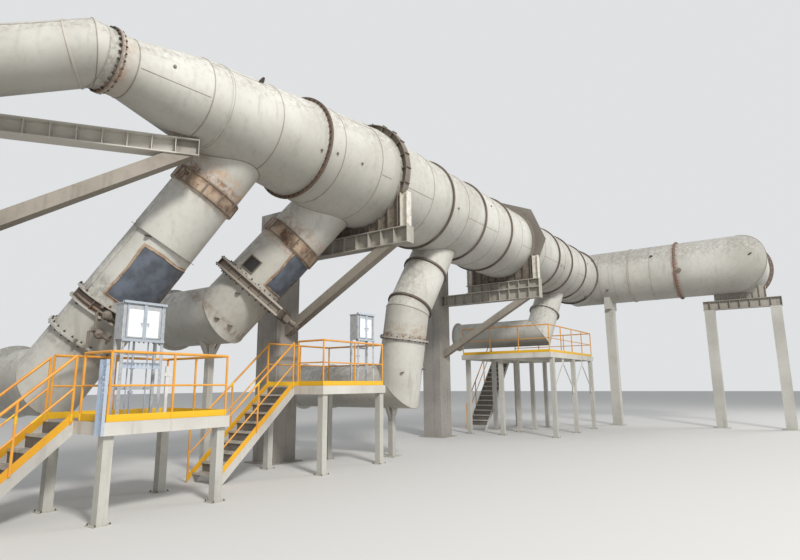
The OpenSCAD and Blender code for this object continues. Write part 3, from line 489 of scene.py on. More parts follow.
def saddle_steel():
    """Dark rib plates between the light posts at both ends of a saddle."""
    g = Graph("saddle_steel")
    away = g.math("ABSOLUTE", g.math("SUBTRACT", g.part(g.place, 1), AXIS_Y))
    fine = g.noise(8, 6, 0.62)
    dark = g.mix(g.ramp(fine, 0.35, 0.7), (0.20, 0.17, 0.135), (0.12, 0.10, 0.08))
    light = g.mix(g.ramp(fine, 0.4, 0.75), (0.66, 0.63, 0.56), (0.46, 0.42, 0.35))
    colour = g.mix(g.ramp(away, 1.255, 1.265), dark, light)
    rusty = g.ramp(g.noise(3.2, 8, 0.7), 0.6, 0.66)
    colour = g.mix(g.times(rusty, 0.7), colour, RUST)
    g.bump(g.noise(38, 4, 0.6), 0.25, 0.004)
    return g.finish(colour, g.ramp(fine, 0.3, 0.7, 0.55, 0.78))


SEAMS = [seam(MAIN, x) for x in MAIN_SEAMS]
KNEE_SEAM = seam(MAIN, KNEE_X)
FLANGES_0 = flange_steel(MAIN, INLET_X, INLET_R, (0.20, 0.16, 0.12), 0.8)
FLANGES_1 = flange_steel(MAIN, JOINT_1_X, JOINT_1_R)
FLANGES_2 = flange_steel(MAIN, JOINT_2_X, MAIN_R, (0.12, 0.095, 0.078), 0.9)
FLANGES_CROSS = flange_steel(CROSS, CROSS_JOINT, MAIN_R, (0.20, 0.075, 0.04), 0.75)

# The nodes that share a duct paint, its name, and its stains from the lowest up
DUCT_STAINS = (
    ("inlet_duct", "inlet_paint", seam(MAIN, INLET_X - 0.2),
     stain(MAIN, INLET_X - 0.16, INLET_X, 0.1, SOOT, 0.5, 7.0), FLANGES_0),
    ("inlet_cone", "cone_paint", stain(MAIN, INLET_X, INLET_X + 0.1, 0.24, (0.40, 0.27, 0.18), 0.6, 3.6),
     stain(MAIN, INLET_X, INLET_X + 0.05, 0.05, RUST, 0.8, 6.0), seam(MAIN, CONE_X, 0.4), KNEE_SEAM),
    ("taper_duct", "taper_paint", SEAMS[0], KNEE_SEAM, FLANGES_1),
    ("main_duct_1", "main_paint_1", *SEAMS[1:3], FLANGES_1, stain(MAIN, -0.10, 0.1, 0.05, SOOT, 0.4, 5.0)),
    ("main_duct_2", "main_paint_2", *SEAMS[3:7]),
    ("main_duct_3", "main_paint_3", *SEAMS[7:], FLANGES_2),
    ("corner_duct", "corner_paint", FLANGES_2, FLANGES_CROSS,
     stain(CROSS, CROSS_JOINT - 0.12, CROSS_JOINT, 0.08, RED_DUST, 0.8, 6.0)),
    ("end_duct", "end_paint", FLANGES_CROSS,
     stain(CROSS, CROSS_JOINT, CROSS_JOINT + 0.1, 0.08, RED_DUST, 0.7, 6.0),
     stain(OUTLET, OUTLET_RUN - 0.03, OUTLET_RUN + OUTLET_FACE, 0.002, (0.16, 0.12, 0.095), 1.0, 9.0, 1.0,
           MAIN_R + 0.004)),
    ("branch_1_duct branch_1_middle branch_1_lower", "branch_1_paint",
     stain(B1, 1.30, 1.56, 0.22, (0.50, 0.31, 0.18), 0.8, 4.2), stain(B1, 1.42, 1.60, 0.05, RUST, 0.75, 7.0),
     stain(B1, 1.82, 1.94, 0.12, (0.42, 0.29, 0.20), 0.5, 7.0), stain(B1, 4.25, 4.62, 0.2, SOOT, 0.45, 4.0),
     seam(B1, COLLAR_1)),
    ("branch_1_elbow branch_1_run", "elbow_1_paint", stain(B1, FLANGE_1, 5.6, 0.15, SOOT, 0.4, 4.0)),
    ("branch_2_duct branch_2_lower", "branch_2_paint",
     stain(B2, 2.05, 2.25, 0.2, (0.42, 0.28, 0.18), 0.7, 4.2),
     stain(B2, 2.55, 3.75, 0.1, (0.40, 0.36, 0.30), 0.45, 2.6, 0.5),
     stain(B2, 2.56, 2.72, 0.1, RUST_LIGHT, 0.55, 5.0)),
    ("branch_2_elbow branch_2_run", "elbow_2_paint",
     stain(B2, 4.0, 4.9, 0.25, (0.34, 0.30, 0.25), 0.5, 1.6, 0.3), stain(B2, 4.86, 5.0, 0.1, RUST, 0.5, 3.0)),
    ("branch_3_duct branch_3_bend", "branch_3_paint",
     stain(B3_LOW, 0.42, FLANGE_3, 0.16, (0.42, 0.34, 0.26), 0.8, 2.8),
     stain(B3_LOW, 0.68, 0.81, 0.04, RUST, 0.75, 5.0)),
    ("branch_3_elbow branch_3_run", "elbow_3_paint", stain(B3_LOW, FLANGE_3, 0.86, 0.05, SOOT, 0.6, 6.0)),
)


def node_materials():
    """Finishes of the CAD nodes that have stains, seams or parts of their own."""
    found = [(names, duct_paint(paint, *stains)) for names, paint, *stains in DUCT_STAINS]
    found += [("ring_girder_1", GIRDER_STEEL), ("ring_girder_2", PLATE_STEEL), ("cable_tray", TRAY_ZINC),
              ("bracket_beams end_girder", BEAM_PAINT), ("bracket_struts", STRUT_PAINT),
              ("corner_column end_columns branch_2_post branch_3_post", POST_PAINT),
              ("branch_1_damper branch_1_tie_rods", BELLOWS), ("branch_2_damper", GATE_STEEL),
              ("platform_3_braces", WHITE_STEEL), ("saddles", saddle_steel())]
    found += [("platform_%d_railing" % k, rails_paint("rail_paint_%d" % k, deck[4]))
              for k, deck in enumerate((DECK_1, DECK_2, DECK_3), 1)]
    found += [(name, cabinet_paint(name + "_paint", x, y, w, base))
              for name, (x, y, w, _, base) in PANELS.items()]
    return {name: paint for names, paint in found for name in names.split()}


def set_material(obj, mat):
    """Make a material the only one of an object."""
    obj.data.materials.clear()
    obj.data.materials.append(mat)


def dress_nodes():
    """Gives every CAD node its own finish, or that of its material slot."""
    own = node_materials()
    for part in frame["record"]["subparts"]:
        name = part["node"]
        set_material(NODES[name], own.get(name) or SLOT_MATERIALS[part["material_slot"]])


class Solid:
    """The faces of one piece, gathered from boxes, prisms, tubes and turned rings."""

    def __init__(self):
        self.verts = []
        self.faces = []

    def add(self, verts, faces):
        first = len(self.verts)
        self.verts += [tuple(v) for v in verts]
        self.faces += [tuple(first + i for i in f) for f in faces]

    def block(self, centre, size, axes=None):
        """A box of a size about a centre, along three axes."""
        ex, ey, ez = axes or Matrix.Identity(3)
        c = Vector(centre)
        corners = [c + ex * (i * size[0] / 2) + ey * (j * size[1] / 2) + ez * (k * size[2] / 2)
                   for k in (-1, 1) for j in (-1, 1) for i in (-1, 1)]
        self.add(corners, [(0, 2, 3, 1), (4, 5, 7, 6), (0, 1, 5, 4), (2, 6, 7, 3), (0, 4, 6, 2),
                           (1, 3, 7, 5)])

    def between(self, low, high):
        """A box between two corners, along X, Y and Z."""
        low, high = Vector(low), Vector(high)
        self.block((low + high) / 2, high - low)

    def loft(self, rings, closed=False):
        """Rings of equal count joined in turn, with their ends capped unless the rings close up."""
        n = len(rings[0])
        faces = []
        for k in range(len(rings) if closed else len(rings) - 1):
            a, b = k * n, ((k + 1) % len(rings)) * n
            faces += [(a + i, a + (i + 1) % n, b + (i + 1) % n, b + i) for i in range(n)]
        if not closed:
            faces += [tuple(reversed(range(n))), tuple(range((len(rings) - 1) * n, len(rings) * n))]
        self.add([p for ring in rings for p in ring], faces)

    def turned(self, start, axis, profile, count=24):
        """A closed form turned about an axis through a profile of (radius, height)."""
        d = Duct(start, axis, 0.0)
        self.loft([[d.start + d.dir * h + d.out(360 * i / count) * r for i in range(count)]
                   for r, h in profile])

    def nut(self, start, axis, across, height, shank=0.0):
        """A hexagon nut with broken edges and the end of its bolt."""
        r = across / math.sqrt(3)
        self.turned(start, axis, [(r, 0), (r, height * 0.82), (r * 0.86, height)], 6)
        if shank:
            self.turned(start, axis, [(across * 0.3, height * 0.9), (across * 0.3, height + shank),
                                      (across * 0.22, height + shank + 0.004)], 8)

    def tube(self, points, radius, sides=10, closed=False):
        """A round tube along points."""
        pts = [Vector(p) for p in points]
        n = len(pts)
        rings = []
        side = None
        for i, p in enumerate(pts):
            ahead = pts[(i + 1) % n] if closed or i < n - 1 else p
            behind = pts[i - 1] if closed or i > 0 else p
            d = (ahead - behind).normalized()
            if side is None:
                side = d.orthogonal().normalized()
            side = (side - d * side.dot(d)).normalized()
            other = d.cross(side)
            rings.append([p + (side * math.cos(t) + other * math.sin(t)) * radius
                          for t in (2 * math.pi * k / sides for k in range(sides))])
        self.loft(rings, closed)

    def ring(self, duct, s, height, width):
        """A flat ring round a duct, centred on a station."""
        profile = ((0, -width / 2), (height, -width / 2), (height, width / 2), (0, width / 2))
        self.loft([[duct.at(s, 360 * i / ROUND, lift) + duct.dir * shift for lift, shift in profile]
                   for i in range(ROUND)], closed=True)

    def build(self, name, mat, bevel=0.0, smooth=False):
        """Turn the gathered faces into a piece that rides on the root body."""
        mesh = bpy.data.meshes.new(name)
        mesh.from_pydata(self.verts, [], self.faces)
        bm = bmesh.new()
        bm.from_mesh(mesh)
        bmesh.ops.recalc_face_normals(bm, faces=bm.faces)
        bm.to_mesh(mesh)
        bm.free()
        if smooth:
            mesh.shade_smooth()
        piece = new_object(name, mesh)
        if bevel:
            mod = piece.modifiers.new("edge", "BEVEL")
            mod.width = bevel
            mod.segments = 1
            mod.limit_method = "ANGLE"
        set_material(piece, mat)
        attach(piece, "root")
        return piece


def mitre(leg, knee, after):
    """The joint's outline where two legs meet at a knee."""
    plane = leg.dir + after.dir
    points = []
    for i in range(ROUND):
        p = knee + leg.out(360 * i / ROUND) * leg.radius
        points.append(p - leg.dir * ((p - knee).dot(plane) / leg.dir.dot(plane)))
    return points


def landing(duct):
    """The outline where a branch lands on the main's shell."""
    points = []
    for i in range(ROUND):
        low, high = 0.2, 3.0
        for _ in range(40):
            s = (low + high) / 2
            p = duct.at(s, 360 * i / ROUND)
            if math.hypot(p.y - AXIS_Y, p.z - AXIS_Z) < MAIN.radius_at(p.x):
                low = s
            else:
                high = s
        points.append(duct.at(low, 360 * i / ROUND))
    return points


def weld_seams():
    """Weld beads round and along the ducts, at their mitres and where branches land."""
    s = Solid()
    for x in MAIN_SEAMS + (CONE_X, KNEE_X):
        s.tube(MAIN.circle(x, BEAD * 0.2), BEAD, 6, closed=True)
    for t in (1.3, 2.0, 3.7):
        s.tube(CROSS.circle(t, BEAD * 0.2), BEAD, 6, closed=True)
    courses = sorted(MAIN_SEAMS + (CONE_X, KNEE_X, TAPER_END_X, BRACKET_1_X, BRACKET_2_X, JOINT_2_X - 0.05))
    gap = 0.04
    for i, (x0, x1) in enumerate(zip(courses, courses[1:])):
        if x0 < JOINT_1_X < x1:
            continue
        step = (x1 - x0 - 2 * gap) / 12
        for elevation in ((-17, 150) if i % 2 == 0 else (42, 215)):
            angle = up_from_front(elevation)
            s.tube([MAIN.at(x0 + gap + step * k, angle) for k in range(13)], BEAD * 0.8, 6)
    s.tube(mitre(MAIN, CROSS.start, CROSS), BEAD * 1.3, 6, closed=True)
    s.tube(mitre(CROSS, OUTLET.start, OUTLET), BEAD * 1.3, 6, closed=True)
    s.build("weld_seams_main", WELD, smooth=True)

    s = Solid()
    inlet = Duct((INLET_X, AXIS_Y, AXIS_Z), (-1, 0, 0), INLET_R)
    s.tube(mitre(inlet, BEND_0, INLET), BEAD, 6, closed=True)
    s.tube(INLET.circle(1.75), BEAD, 6, closed=True)
    front = Vector((-0.5, -0.6, 0.62))
    angle = math.degrees(math.atan2(front.dot(INLET.ey), front.dot(INLET.ex)))
    s.tube([INLET.at(0.3 + 0.2 * k, angle) for k in range(8)], BEAD * 0.8, 6)
    for leg, knee, after in ((B1, KNEE_1, RUNS["1"]), (B2, KNEE_2, RUNS["2"]), (B3, BEND_3, B3_LOW),
                             (B3_LOW, KNEE_3, RUNS["3"]), (B4, KNEE_4, RUNS["4"])):
        s.tube(mitre(leg, knee, after), BEAD * 1.2, 6, closed=True)
    for duct in (B1, B2, B3, B4):
        s.tube(landing(duct), BEAD * 1.6, 6, closed=True)
    for duct, low, high, angle in ((B1, 1.9, 3.0, 150), (B1, 3.1, 4.55, 118), (B2, 2.62, 3.74, -75),
                                   (B3, 1.8, 3.5, 40), (B3_LOW, 0.86, 2.0, 150), (RUNS["3"], 0.8, 2.9, 160)):
        s.tube([duct.at(low + (high - low) * k / 8, angle) for k in range(9)], BEAD * 0.8, 6)
    s.build("weld_seams_branches", WELD, smooth=True)


def flange_bolts(s, duct, at, lift, count, across=0.036, sides=(-1, 1)):
    """Nuts round a flange pair, on the stated sides of its joint."""
    for i in range(count):
        for side in sides:
            s.nut(duct.at(at, 360 * (i + 0.5) / count, lift) + duct.dir * side * FLANGE_T, duct.dir * side,
                  across, across * 0.6, 0.014)


def bolts():
    """Bolts and nuts on both faces of each flanged joint."""
    s = Solid()
    flange_bolts(s, MAIN, INLET_X, 0.027, 28, 0.044)
    s.build("bolts_inlet_joint", BOLT_STEEL)
    lift = 0.55 * FLANGE_H
    for name, duct, at, count in (("joint_1", MAIN, JOINT_1_X, 48), ("joint_2", MAIN, JOINT_2_X, 56),
                                  ("cross_joint", CROSS, CROSS_JOINT, 56), ("branch_1", B1, FLANGE_1, 24),
                                  ("branch_3", B3_LOW, FLANGE_3, 24), ("branch_4", B4, FLANGE_4, 24)):
        s = Solid()
        if name == "branch_1":
            for bellows_at, side in zip(BELLOWS_1, (-1, 1)):
                flange_bolts(s, B1, bellows_at, 0.65 * FLANGE_H, 8, 0.046, (side,))
        flange_bolts(s, duct, at, lift, count)
        s.build("bolts_" + name, BOLT_STEEL)


def gate_details():
    """The slide gate's flange bolts, rim bolts, stem, hand wheel and angle frame."""
    axes = (B2.ex, B2.ey, B2.dir)

    def spot(x, y, z):
        return B2.start + B2.ex * x + B2.ey * y + B2.dir * z

    s = Solid()
    flange_bolts(s, B2, GATE_AT, 0.047, 24, sides=(-1,))
    flange_bolts(s, B2, GATE_AT + GATE_LEN, 0.047, 24, sides=(1,))
    rim = 0.035
    longs = [-GATE_UP + rim + k * (GATE_UP + GATE_DOWN - 2 * rim) / 13 for k in range(14)]
    wides = [-GATE_W / 2 + rim + k * (GATE_W - 2 * rim) / 11 for k in range(1, 11)]
    places = [(x, y) for x in longs for y in (rim - GATE_W / 2, GATE_W / 2 - rim)]
    places += [(x, y) for x in (rim - GATE_UP, GATE_DOWN - rim) for y in wides]
    for x, y in places:
        s.nut(spot(x, y, GATE_AT), -B2.dir, 0.03, 0.018, 0.01)
        s.nut(spot(x, y, GATE_AT + GATE_LEN), B2.dir, 0.03, 0.018, 0.01)
    s.build("bolts_gate", BOLT_STEEL)

    s = Solid()
    for side in (-1, 1):
        for z in (GATE_AT + 0.02, GATE_AT + GATE_LEN - 0.02):
            s.block(spot((GATE_DOWN - GATE_UP) / 2, side * (GATE_W / 2 + 0.006), z),
                    (GATE_UP + GATE_DOWN, 0.012, 0.05), axes)
    s.build("gate_edges", WELD, bevel=0.003)

    s = Solid()
    hub = spot(GATE_DOWN + 0.27, 0, GATE_AT + GATE_LEN / 2)
    s.turned(hub, B2.ex, [(0.05, -0.02), (0.07, -0.01), (0.07, 0.05), (0.045, 0.07), (0.03, 0.16)], 20)
    for side in (-1, 1):
        s.block(spot(GATE_DOWN + 0.08, side * 0.13, GATE_AT + GATE_LEN / 2), (0.2, 0.016, 0.14), axes)
    wheel_at = hub + B2.ex * 0.12
    s.tube([wheel_at + (B2.ey * math.cos(t) + B2.dir * math.sin(t)) * 0.17
            for t in (2 * math.pi * k / 32 for k in range(32))], 0.014, 8, closed=True)
    for k in range(4):
        t = math.pi * k / 2 + 0.4
        s.tube([wheel_at, wheel_at + (B2.ey * math.cos(t) + B2.dir * math.sin(t)) * 0.17], 0.009, 6)
    s.build("gate_hand_wheel", GATE_STEEL)


def patch(s, duct, low, high, from_a, to_a, lift, thick, wave=0.0, rows=16, cols=20):
    """A curved plate on a duct, closed all round, with slightly wavy edges."""
    def at(u, v, up):
        edge = abs(2 * u - 1) ** 3 * math.copysign(1, u - 0.5)
        side = abs(2 * v - 1) ** 3 * math.copysign(1, v - 0.5)
        station = low + (high - low) * u + wave * edge * math.sin(9 * v + 1.3) * (1 + 0.5 * math.sin(23 * v))
        turn = from_a + (to_a - from_a) * v
        turn += math.degrees(wave / duct.radius) * side * math.sin(8 * u + 0.4) * (1 + 0.5 * math.sin(19 * u))
        return duct.at(station, turn, up)

    layers = [[at(i / rows, j / cols, up) for i in range(rows + 1) for j in range(cols + 1)]
              for up in (lift, lift + thick)]
    wide = cols + 1
    n = (rows + 1) * wide
    corners = [base + i * wide + j for base in (0, n) for i in range(rows) for j in range(cols)]
    faces = [(a, a + 1, a + wide + 1, a + wide) for a in corners]
    rim = [*range(0, n, wide), *range(n - cols, n), *range(n - 1 - wide, 0, -wide), *range(cols - 1, 0, -1)]
    for a, b in zip(rim, rim[1:] + rim[:1]):
        faces.append((a, b, b + n, a + n))
    s.add(layers[0] + layers[1], faces)
    return [layers[1][i] for i in rim]


def patches():
    """The repair plates on branches 1 and 2, each on a scorched ground with a ragged weld round it."""
    for name, duct, low, high, from_a, to_a in (("branch_1", B1, 3.28, 4.40, -11, 85),
                                                ("branch_2", B2, 2.62, 3.63, -12, 56)):
        s = Solid()
        patch(s, duct, low - 0.05, high + 0.045, from_a - 4, to_a + 4, 0.0, 0.004, 0.016)
        s.build("scorched_ground_" + name, SCORCHED)
        s = Solid()
        rim = patch(s, duct, low, high, from_a, to_a, 0.003, 0.008, 0.007)
        s.build("repair_plate_" + name, PATCH_BLUE)
        s = Solid()
        s.tube(rim, 0.013, 6, closed=True)
        s.build("repair_weld_" + name, BAND_RUST, smooth=True)
    # Near-black sheets in the slots and inside the hatch frame: painted shade of their insides.
    s = Solid()
    patch(s, B2, 3.02, 3.24, -10, 2, 0.010, 0.004)
    patch(s, B2, 3.32, 3.64, 91, 117, 0.0, 0.006)
    s.build("dark_slots_branch_2", HOLLOW)
    s = Solid()
    for low, high, a, b in ((3.30, 3.66, 89.5, 91.5), (3.30, 3.66, 116.5, 118.5), (3.29, 3.32, 90, 118),
                            (3.64, 3.67, 90, 118)):
        patch(s, B2, low, high, a, b, 0.0, 0.03, rows=2, cols=6)
    s.build("hatch_frame_branch_2", GATE_STEEL, bevel=0.003)
    s = Solid()
    for duct, (low, high) in ((B1, BAND_1), (B2, BAND_2)):
        for at in (low + 0.03, high - 0.03):
            s.tube(duct.circle(at, 0.045), 0.016, 6, closed=True)
    s.build("joint_band_edges", BELLOWS, smooth=True)
    s = Solid()
    for duct, (low, high) in ((B1, BAND_1), (B2, BAND_2)):
        for k in range(12):
            angle = 10 + 30 * k
            mid = duct.at((low + high) / 2, angle, 0.05)
            s.block(mid, (0.03, 0.035, high - low - 0.02), (duct.out(angle), duct.out(angle + 90), duct.dir))
    s.build("joint_band_straps", BELLOWS, bevel=0.006)


def padeye(s, foot, out, along, size=0.12, thick=0.014):
    """A lifting lug: a plate with a rounded head and a hole, standing on a duct."""
    out, along = out.normalized(), along.normalized()
    side = out.cross(along)
    head = size * 0.75
    outline = [(-size / 2, -0.01), (size / 2, -0.01), (size / 2, head * 0.45)]
    outline += [(math.cos(t) * size * 0.36, head * 0.62 + math.sin(t) * size * 0.36)
                for t in (math.radians(a) for a in range(10, 175, 20))]
    outline.append((-size / 2, head * 0.45))
    s.loft([[foot + along * x + out * y + side * shift for x, y in outline]
            for shift in (-thick / 2, thick / 2)])


def lugs_and_nozzles():
    """Plugs, the blind nozzle, lifting lugs and thin rings on the ducts."""
    s = Solid()
    for x, elevation in ((-2.68, -20), (-2.24, -16), (-1.47, -15), (-5.98, 7), (2.9, -12), (5.2, 18),
                         (11.9, -20), (12.3, -20), (15.6, 12)):
        a = up_from_front(elevation)
        s.turned(MAIN.at(x, a, -0.004), MAIN.out(a),
                 [(0.024, 0), (0.024, 0.018), (0.030, 0.018), (0.030, 0.030), (0.020, 0.036)], 16)
    s.build("plugs_main", GIRDER_STEEL)

    s = Solid()
    duct, at, angle = CROSS, 4.99, up_from_front(-9)
    s.turned(duct.at(at, angle, -0.01), duct.out(angle),
             [(0.06, 0), (0.06, 0.06), (0.095, 0.06), (0.095, 0.08), (0.088, 0.086), (0.03, 0.09)], 28)
    for k in range(8):
        turn = math.radians(45 * k)
        side = duct.out(angle + 90) * math.cos(turn) + duct.dir * math.sin(turn)
        s.nut(duct.at(at, angle, 0.07) + side * 0.078, duct.out(angle), 0.016, 0.012)
    s.build("blind_nozzle", GATE_STEEL)

    s = Solid()
    for duct, at, angle in ((B2, 4.93, 80), (B2, 4.87, 54), (B2, 4.2, 84), (B3_LOW, 1.75, 60),
                            (B3_LOW, 1.6, -10), (B1, 3.10, 92)):
        padeye(s, duct.at(at, angle, -0.004), duct.out(angle), duct.out(angle + 90) + duct.dir * 0.4)
    for duct, at, elevation in ((MAIN, -4.11, 44), (MAIN, 16.8, 29), (MAIN, 16.83, -56), (CROSS, 1.63, -36),
                                (CROSS, 3.82, 27), (CROSS, 7.84, 7), (MAIN, 6.1, 135), (MAIN, 13.9, 135)):
        a = up_from_front(elevation)
        padeye(s, duct.at(at, a, -0.004), duct.out(a), duct.dir - 0.5 * duct.out(a + 90), 0.16, 0.02)
    s.build("padeyes", BOLT_STEEL, bevel=0.002)

    s = Solid()
    s.ring(CROSS, 2.71, 0.035, 0.045)
    s.ring(RUNS["3"], 2.55, 0.045, 0.05)
    s.ring(INLET, 0.27, 0.014, 0.03)
    s.build("thin_rings", LIGHT_STEEL, bevel=0.003)
    # A darker ring beside the light one on the cross duct: painted shade on its shadow side.
    s = Solid()
    s.ring(CROSS, 2.745, 0.03, 0.024)
    s.build("thin_ring_shadow_side", WELD, bevel=0.003)


def wheel(s, hub, axis, radius):
    """A small hand wheel with three spokes."""
    d = Duct(hub, axis, radius)
    s.tube(d.circle(0, 0, 28), 0.012, 8, closed=True)
    for k in range(3):
        s.tube([hub, d.at(0, 120 * k + 20)], 0.0084, 6)
    s.turned(hub - d.dir * 0.02, axis, [(0.02, 0), (0.026, 0.01), (0.026, 0.04), (0.018, 0.05)], 12)


def branch_1_valves():
    """Tapping valves and levers beside branch 1's lower flanges."""
    s = Solid()
    for at, angle, reach in ((4.70, 64, 0.34), (5.05, 58, 0.30)):
        foot = B1.at(at, angle, -0.01)
        out = B1.out(angle)
        side = out.cross(B1.dir).normalized()
        s.turned(foot, out, [(0.045, 0), (0.045, 0.10), (0.085, 0.10), (0.085, 0.12), (0.05, 0.12),
                             (0.05, 0.14), (0.085, 0.14), (0.085, 0.16), (0.06, 0.17), (0.08, 0.21),
                             (0.08, 0.26), (0.06, 0.30), (0.03, 0.31), (0.025, reach)], 20)
        body = foot + out * 0.235
        s.turned(body + side * 0.05, side, [(0.05, 0), (0.05, 0.04), (0.028, 0.05), (0.022, 0.16)], 16)
        wheel(s, body + side * 0.2, side, 0.085)
        s.tube([body - side * 0.05, body - side * 0.14, body - side * 0.19 - Vector((0, 0, 0.05)),
                body - side * 0.19 - Vector((0, 0, 0.34))], 0.024, 10)
    for at in (4.62, 5.36):
        out = B1.out(75)
        s.block(B1.at(at, 75, 0.06) + out * 0.05, (0.12, 0.05, 0.03), (out, B1.out(165), B1.dir))
    s.build("branch_1_valves", GATE_STEEL)


def stair_details(name, x, y, rise, pitch, toe=True):
    """Risers and nosings between the stringers, and a toe strip on each stringer."""
    t = math.radians(pitch)
    run = rise / math.tan(t)
    n = round(rise / TREAD_RISE)
    inner = 0.0215
    near_y, far_y = y + inner, y + STAIR_W - inner
    treads = [(x - run + (i - 0.35) * run / n, i * rise / n) for i in range(1, n)]
    s = Solid()
    for edge, top in treads:
        back = edge + TREAD_D
        s.between((back, near_y, top - 0.002), (back + 0.004, far_y, top + rise / n - 0.031))
    s.build("risers_" + name, TREAD_STEEL, bevel=0.001)
    s = Solid()
    for edge, top in treads:
        for far_x, low_z in ((edge, top - 0.036), (edge + 0.035, top)):
            s.between((edge - 0.005, near_y, low_z), (far_x, far_y, top + 0.003))
    s.build("nosings_" + name, LIGHT_STEEL, bevel=0.001)
    s = Solid()
    for edge, top in treads:
        for j, lean in enumerate((0.7071, -0.7071)):
            axes = (Vector((0.7071, lean, 0)), Vector((-lean, 0.7071, 0)), Vector((0, 0, 1)))
            for k in range(9):
                centre = (edge + 0.08 + 0.09 * j, y + 0.09 + 0.09 * k, top + 0.0015)
                s.block(centre, (0.055, 0.012, 0.003), axes)
    s.build("tread_plate_" + name, TREAD_STEEL)
    if toe:
        s = Solid()
        slope = Vector((math.cos(t), 0, math.sin(t)))
        for side in (0, 1):
            foot = Vector((x - run, y + 0.010 + side * (STAIR_W - 0.020), 0))
            near, far = foot + slope * 0.03, foot + slope * (rise / math.sin(t) - 0.01)
            up = Vector((0, 0, STRIP_H))
            s.loft([[p + Vector((0, shift, 0)) for p in (near, far, far + up, near + up)]
                    for shift in (-0.004, 0.004)])
        s.build("toe_strips_" + name, TOE_STRIP, bevel=0.0015)


def platform_details():
    """Bolts at the feet of the platforms' posts."""
    feet = []
    for (low_x, low_y, high_x, high_y, _), inset in ((DECK_1, 0.15), (DECK_2, 0.12)):
        feet += [(x, y) for x in (low_x + 0.12, high_x - 0.12) for y in (low_y + inset, high_y - inset)]
    low_x, low_y, high_x, high_y, _ = DECK_3
    for count, y in ((3, low_y + 0.07), (4, low_y + 2.25), (3, high_y - 0.15)):
        step = (high_x - low_x - 0.6) / (count - 1)
        feet += [(low_x + 0.3 + i * step, y) for i in range(count)]
    s = Solid()
    for x, y in feet:
        for i in (-1, 1):
            for j in (-1, 1):
                s.nut((x + i * 0.112, y + j * 0.112, 0.012), (0, 0, 1), 0.026, 0.016, 0.012)
    s.build("post_foot_bolts", BOLT_STEEL)


def cabinet_details(name, x, y, w, z, base):
    """Hood, door frame, handles, hinges and glands of a cabinet, and the conduits and pole under it."""
    top = base + PANEL_H
    mid = x + w / 2
    front = y - 0.018
    s = Solid()
    s.between((x - 0.012, y - 0.045, top + 0.012), (x + w + 0.012, y + 0.02, top + 0.046))
    s.between((x - 0.012, y - 0.05, top), (x + w + 0.012, y - 0.045, top + 0.046))
    s.between((x, y - 0.03, base - 0.04), (x + w, y - 0.006, base + 0.012))
    s.between((mid - 0.032, y - 0.03, base), (mid + 0.032, y - 0.002, top + 0.02))
    for side in (x + 0.064, x + w - 0.076):
        s.between((side, y - 0.026, base), (side + 0.012, y - 0.002, top))
    s.build(name + "_frame", ZINC, bevel=0.003)

    s = Solid()
    grip_z = base + PANEL_H * 0.46
    for side in (-1, 1):
        grip = mid + side * 0.062
        s.turned((grip, front + 0.002, grip_z), (0, -1, 0),
                 [(0.016, 0), (0.016, 0.008), (0.010, 0.012), (0.010, 0.02)], 16)
        s.between((grip - 0.007, front - 0.026, grip_z - 0.05),
                  (grip + 0.007, front - 0.016, grip_z + 0.012))
        hinge = mid + side * (w / 2 - 0.082)
        for level in (0.16, 0.84):
            s.tube([(hinge, front - 0.001, base + PANEL_H * level + end) for end in (-0.03, 0.03)], 0.009)
    s.build(name + "_handles", ZINC, bevel=0.001)

    s = Solid()
    spots = [(x + 0.13 + k * (w - 0.26) / 6, y + PANEL_D / 2) for k in range(7)]
    for at in spots:
        s.turned((*at, base + 0.002), (0, 0, -1),
                 [(0.018, 0), (0.018, 0.02), (0.013, 0.03), (0.013, 0.05)], 12)
    s.build(name + "_glands", BOLT_STEEL)

    s = Solid()
    for at in spots[1::4]:
        s.tube([(*at, base - 0.03), (*at, z)], 0.012, 12)
        s.turned((*at, z), (0, 0, 1), [(0.035, 0), (0.035, 0.006), (0.018, 0.010), (0.018, 0.03)], 16)
    s.build(name + "_conduits", ZINC)

    s = Solid()
    at = (mid - 0.04, y + 0.22)
    s.tube([(*at, z + 0.002), (*at, base)], 0.02, 12)
    s.turned((*at, z), (0, 0, 1), [(0.05, 0), (0.05, 0.008), (0.026, 0.012), (0.026, 0.05)], 20)
    for level in (0.3, 0.62):
        height = z + (base - z) * level
        s.between((mid - 0.075, y + 0.19, height), (mid - 0.005, y + 0.25, height + 0.05))
    s.build(name + "_pole", ZINC, bevel=0.002)


def cable_channel():
    """The light channel that stands beside cabinet 1."""
    x, y, w, z, _ = PANELS["panel_1"]
    s = Solid()
    outline = [(0, 0), (0.06, 0), (0.06, 0.04), (0.054, 0.04), (0.054, 0.006), (0.006, 0.006), (0.006, 0.04),
               (0, 0.04)]
    s.loft([[(x + w + 0.10 + a, y + b, height) for a, b in outline] for height in (z, z + 0.9)])
    s.between((x + w + 0.07, y - 0.008, z + 0.72), (x + w + 0.22, y, z + 0.78))
    s.build("cable_channel", WHITE_STEEL, bevel=0.001)


def lamp(name, at, target, size, power, tint=(1, 1, 1)):
    """A soft round lamp that looks at a target."""
    data = bpy.data.lights.new(name, "AREA")
    data.shape = "DISK"
    data.size = size
    data.energy = power
    data.color = tint
    obj = new_object(name, data)
    obj.location = at
    obj.rotation_euler = (Vector(target) - Vector(at)).to_track_quat("-Z", "Y").to_euler()


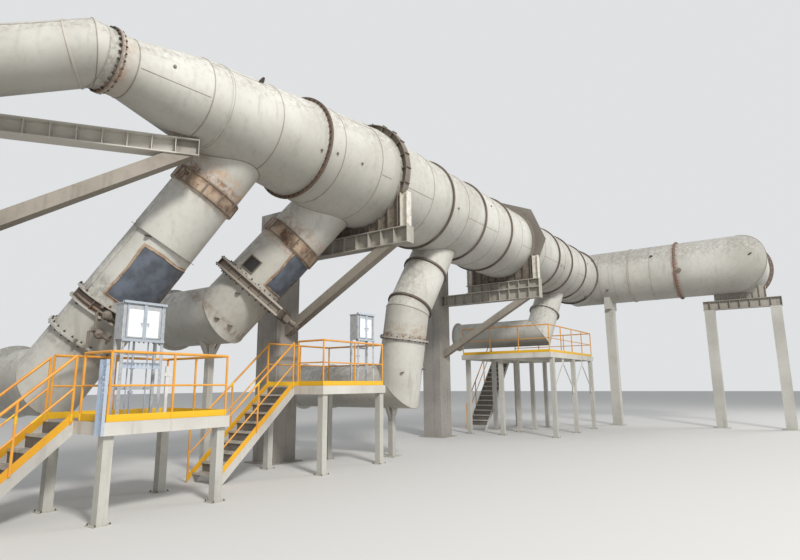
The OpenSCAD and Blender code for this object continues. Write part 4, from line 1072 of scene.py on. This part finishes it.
def make_floor():
    """A plain pale floor."""
    mesh = bpy.data.meshes.new("floor")
    s = FLOOR_HALF
    mesh.from_pydata([(-s, -s, 0), (s, -s, 0), (s, s, 0), (-s, s, 0)], [], [(0, 1, 2, 3)])
    floor = new_object("floor", mesh)
    g = Graph("floor")
    set_material(floor, g.finish((0.62, 0.61, 0.59, 1), 0.9))


def make_world():
    """Even light, with a pale backdrop for the camera and for reflections."""
    world = bpy.data.worlds.new("world")
    bpy.context.scene.world = world
    world.use_nodes = True
    tree = world.node_tree
    light = tree.nodes["Background"]
    light.inputs[0].default_value = (0.88, 0.91, 0.95, 1)
    light.inputs[1].default_value = WORLD_LIGHT
    shown = tree.nodes.new("ShaderNodeBackground")
    shown.inputs[0].default_value = (0.74, 0.755, 0.77, 1)
    rays = tree.nodes.new("ShaderNodeLightPath")
    share = rays.outputs["Is Camera Ray"]
    for ray in ("Is Glossy Ray", "Is Transmission Ray"):
        most = tree.nodes.new("ShaderNodeMath")
        most.operation = "MAXIMUM"
        tree.links.new(share, most.inputs[0])
        tree.links.new(rays.outputs[ray], most.inputs[1])
        share = most.outputs[0]
    both = tree.nodes.new("ShaderNodeMixShader")
    tree.links.new(share, both.inputs[0])
    tree.links.new(light.outputs[0], both.inputs[1])
    tree.links.new(shown.outputs[0], both.inputs[2])
    tree.links.new(both.outputs[0], tree.nodes["World Output"].inputs[0])


make_camera()
make_world()
make_floor()
lamp("key", (-14, -30, 27), (3, -2, 4), 7, 12500, (1.0, 0.98, 0.95))
lamp("fill", (30, -24, 18), (8, -3, 4), 16, 3200)
dress_nodes()
weld_seams()
bolts()
gate_details()
patches()
lugs_and_nozzles()
branch_1_valves()
stair_details("1", DECK_1[0], DECK_1[1] + 0.95, DECK_1[4], STAIR_PITCH)
stair_details("2", DECK_2[0], DECK_2[1] + 0.95, DECK_2[4], STAIR_PITCH)
stair_details("3", DECK_3[2] - 0.72, DECK_3[3], DECK_3[4], STAIR_3_PITCH, toe=False)
platform_details()
for panel, place in PANELS.items():
    cabinet_details(panel, *place)
cable_channel()

bpy.context.scene.view_settings.view_transform = "Standard"
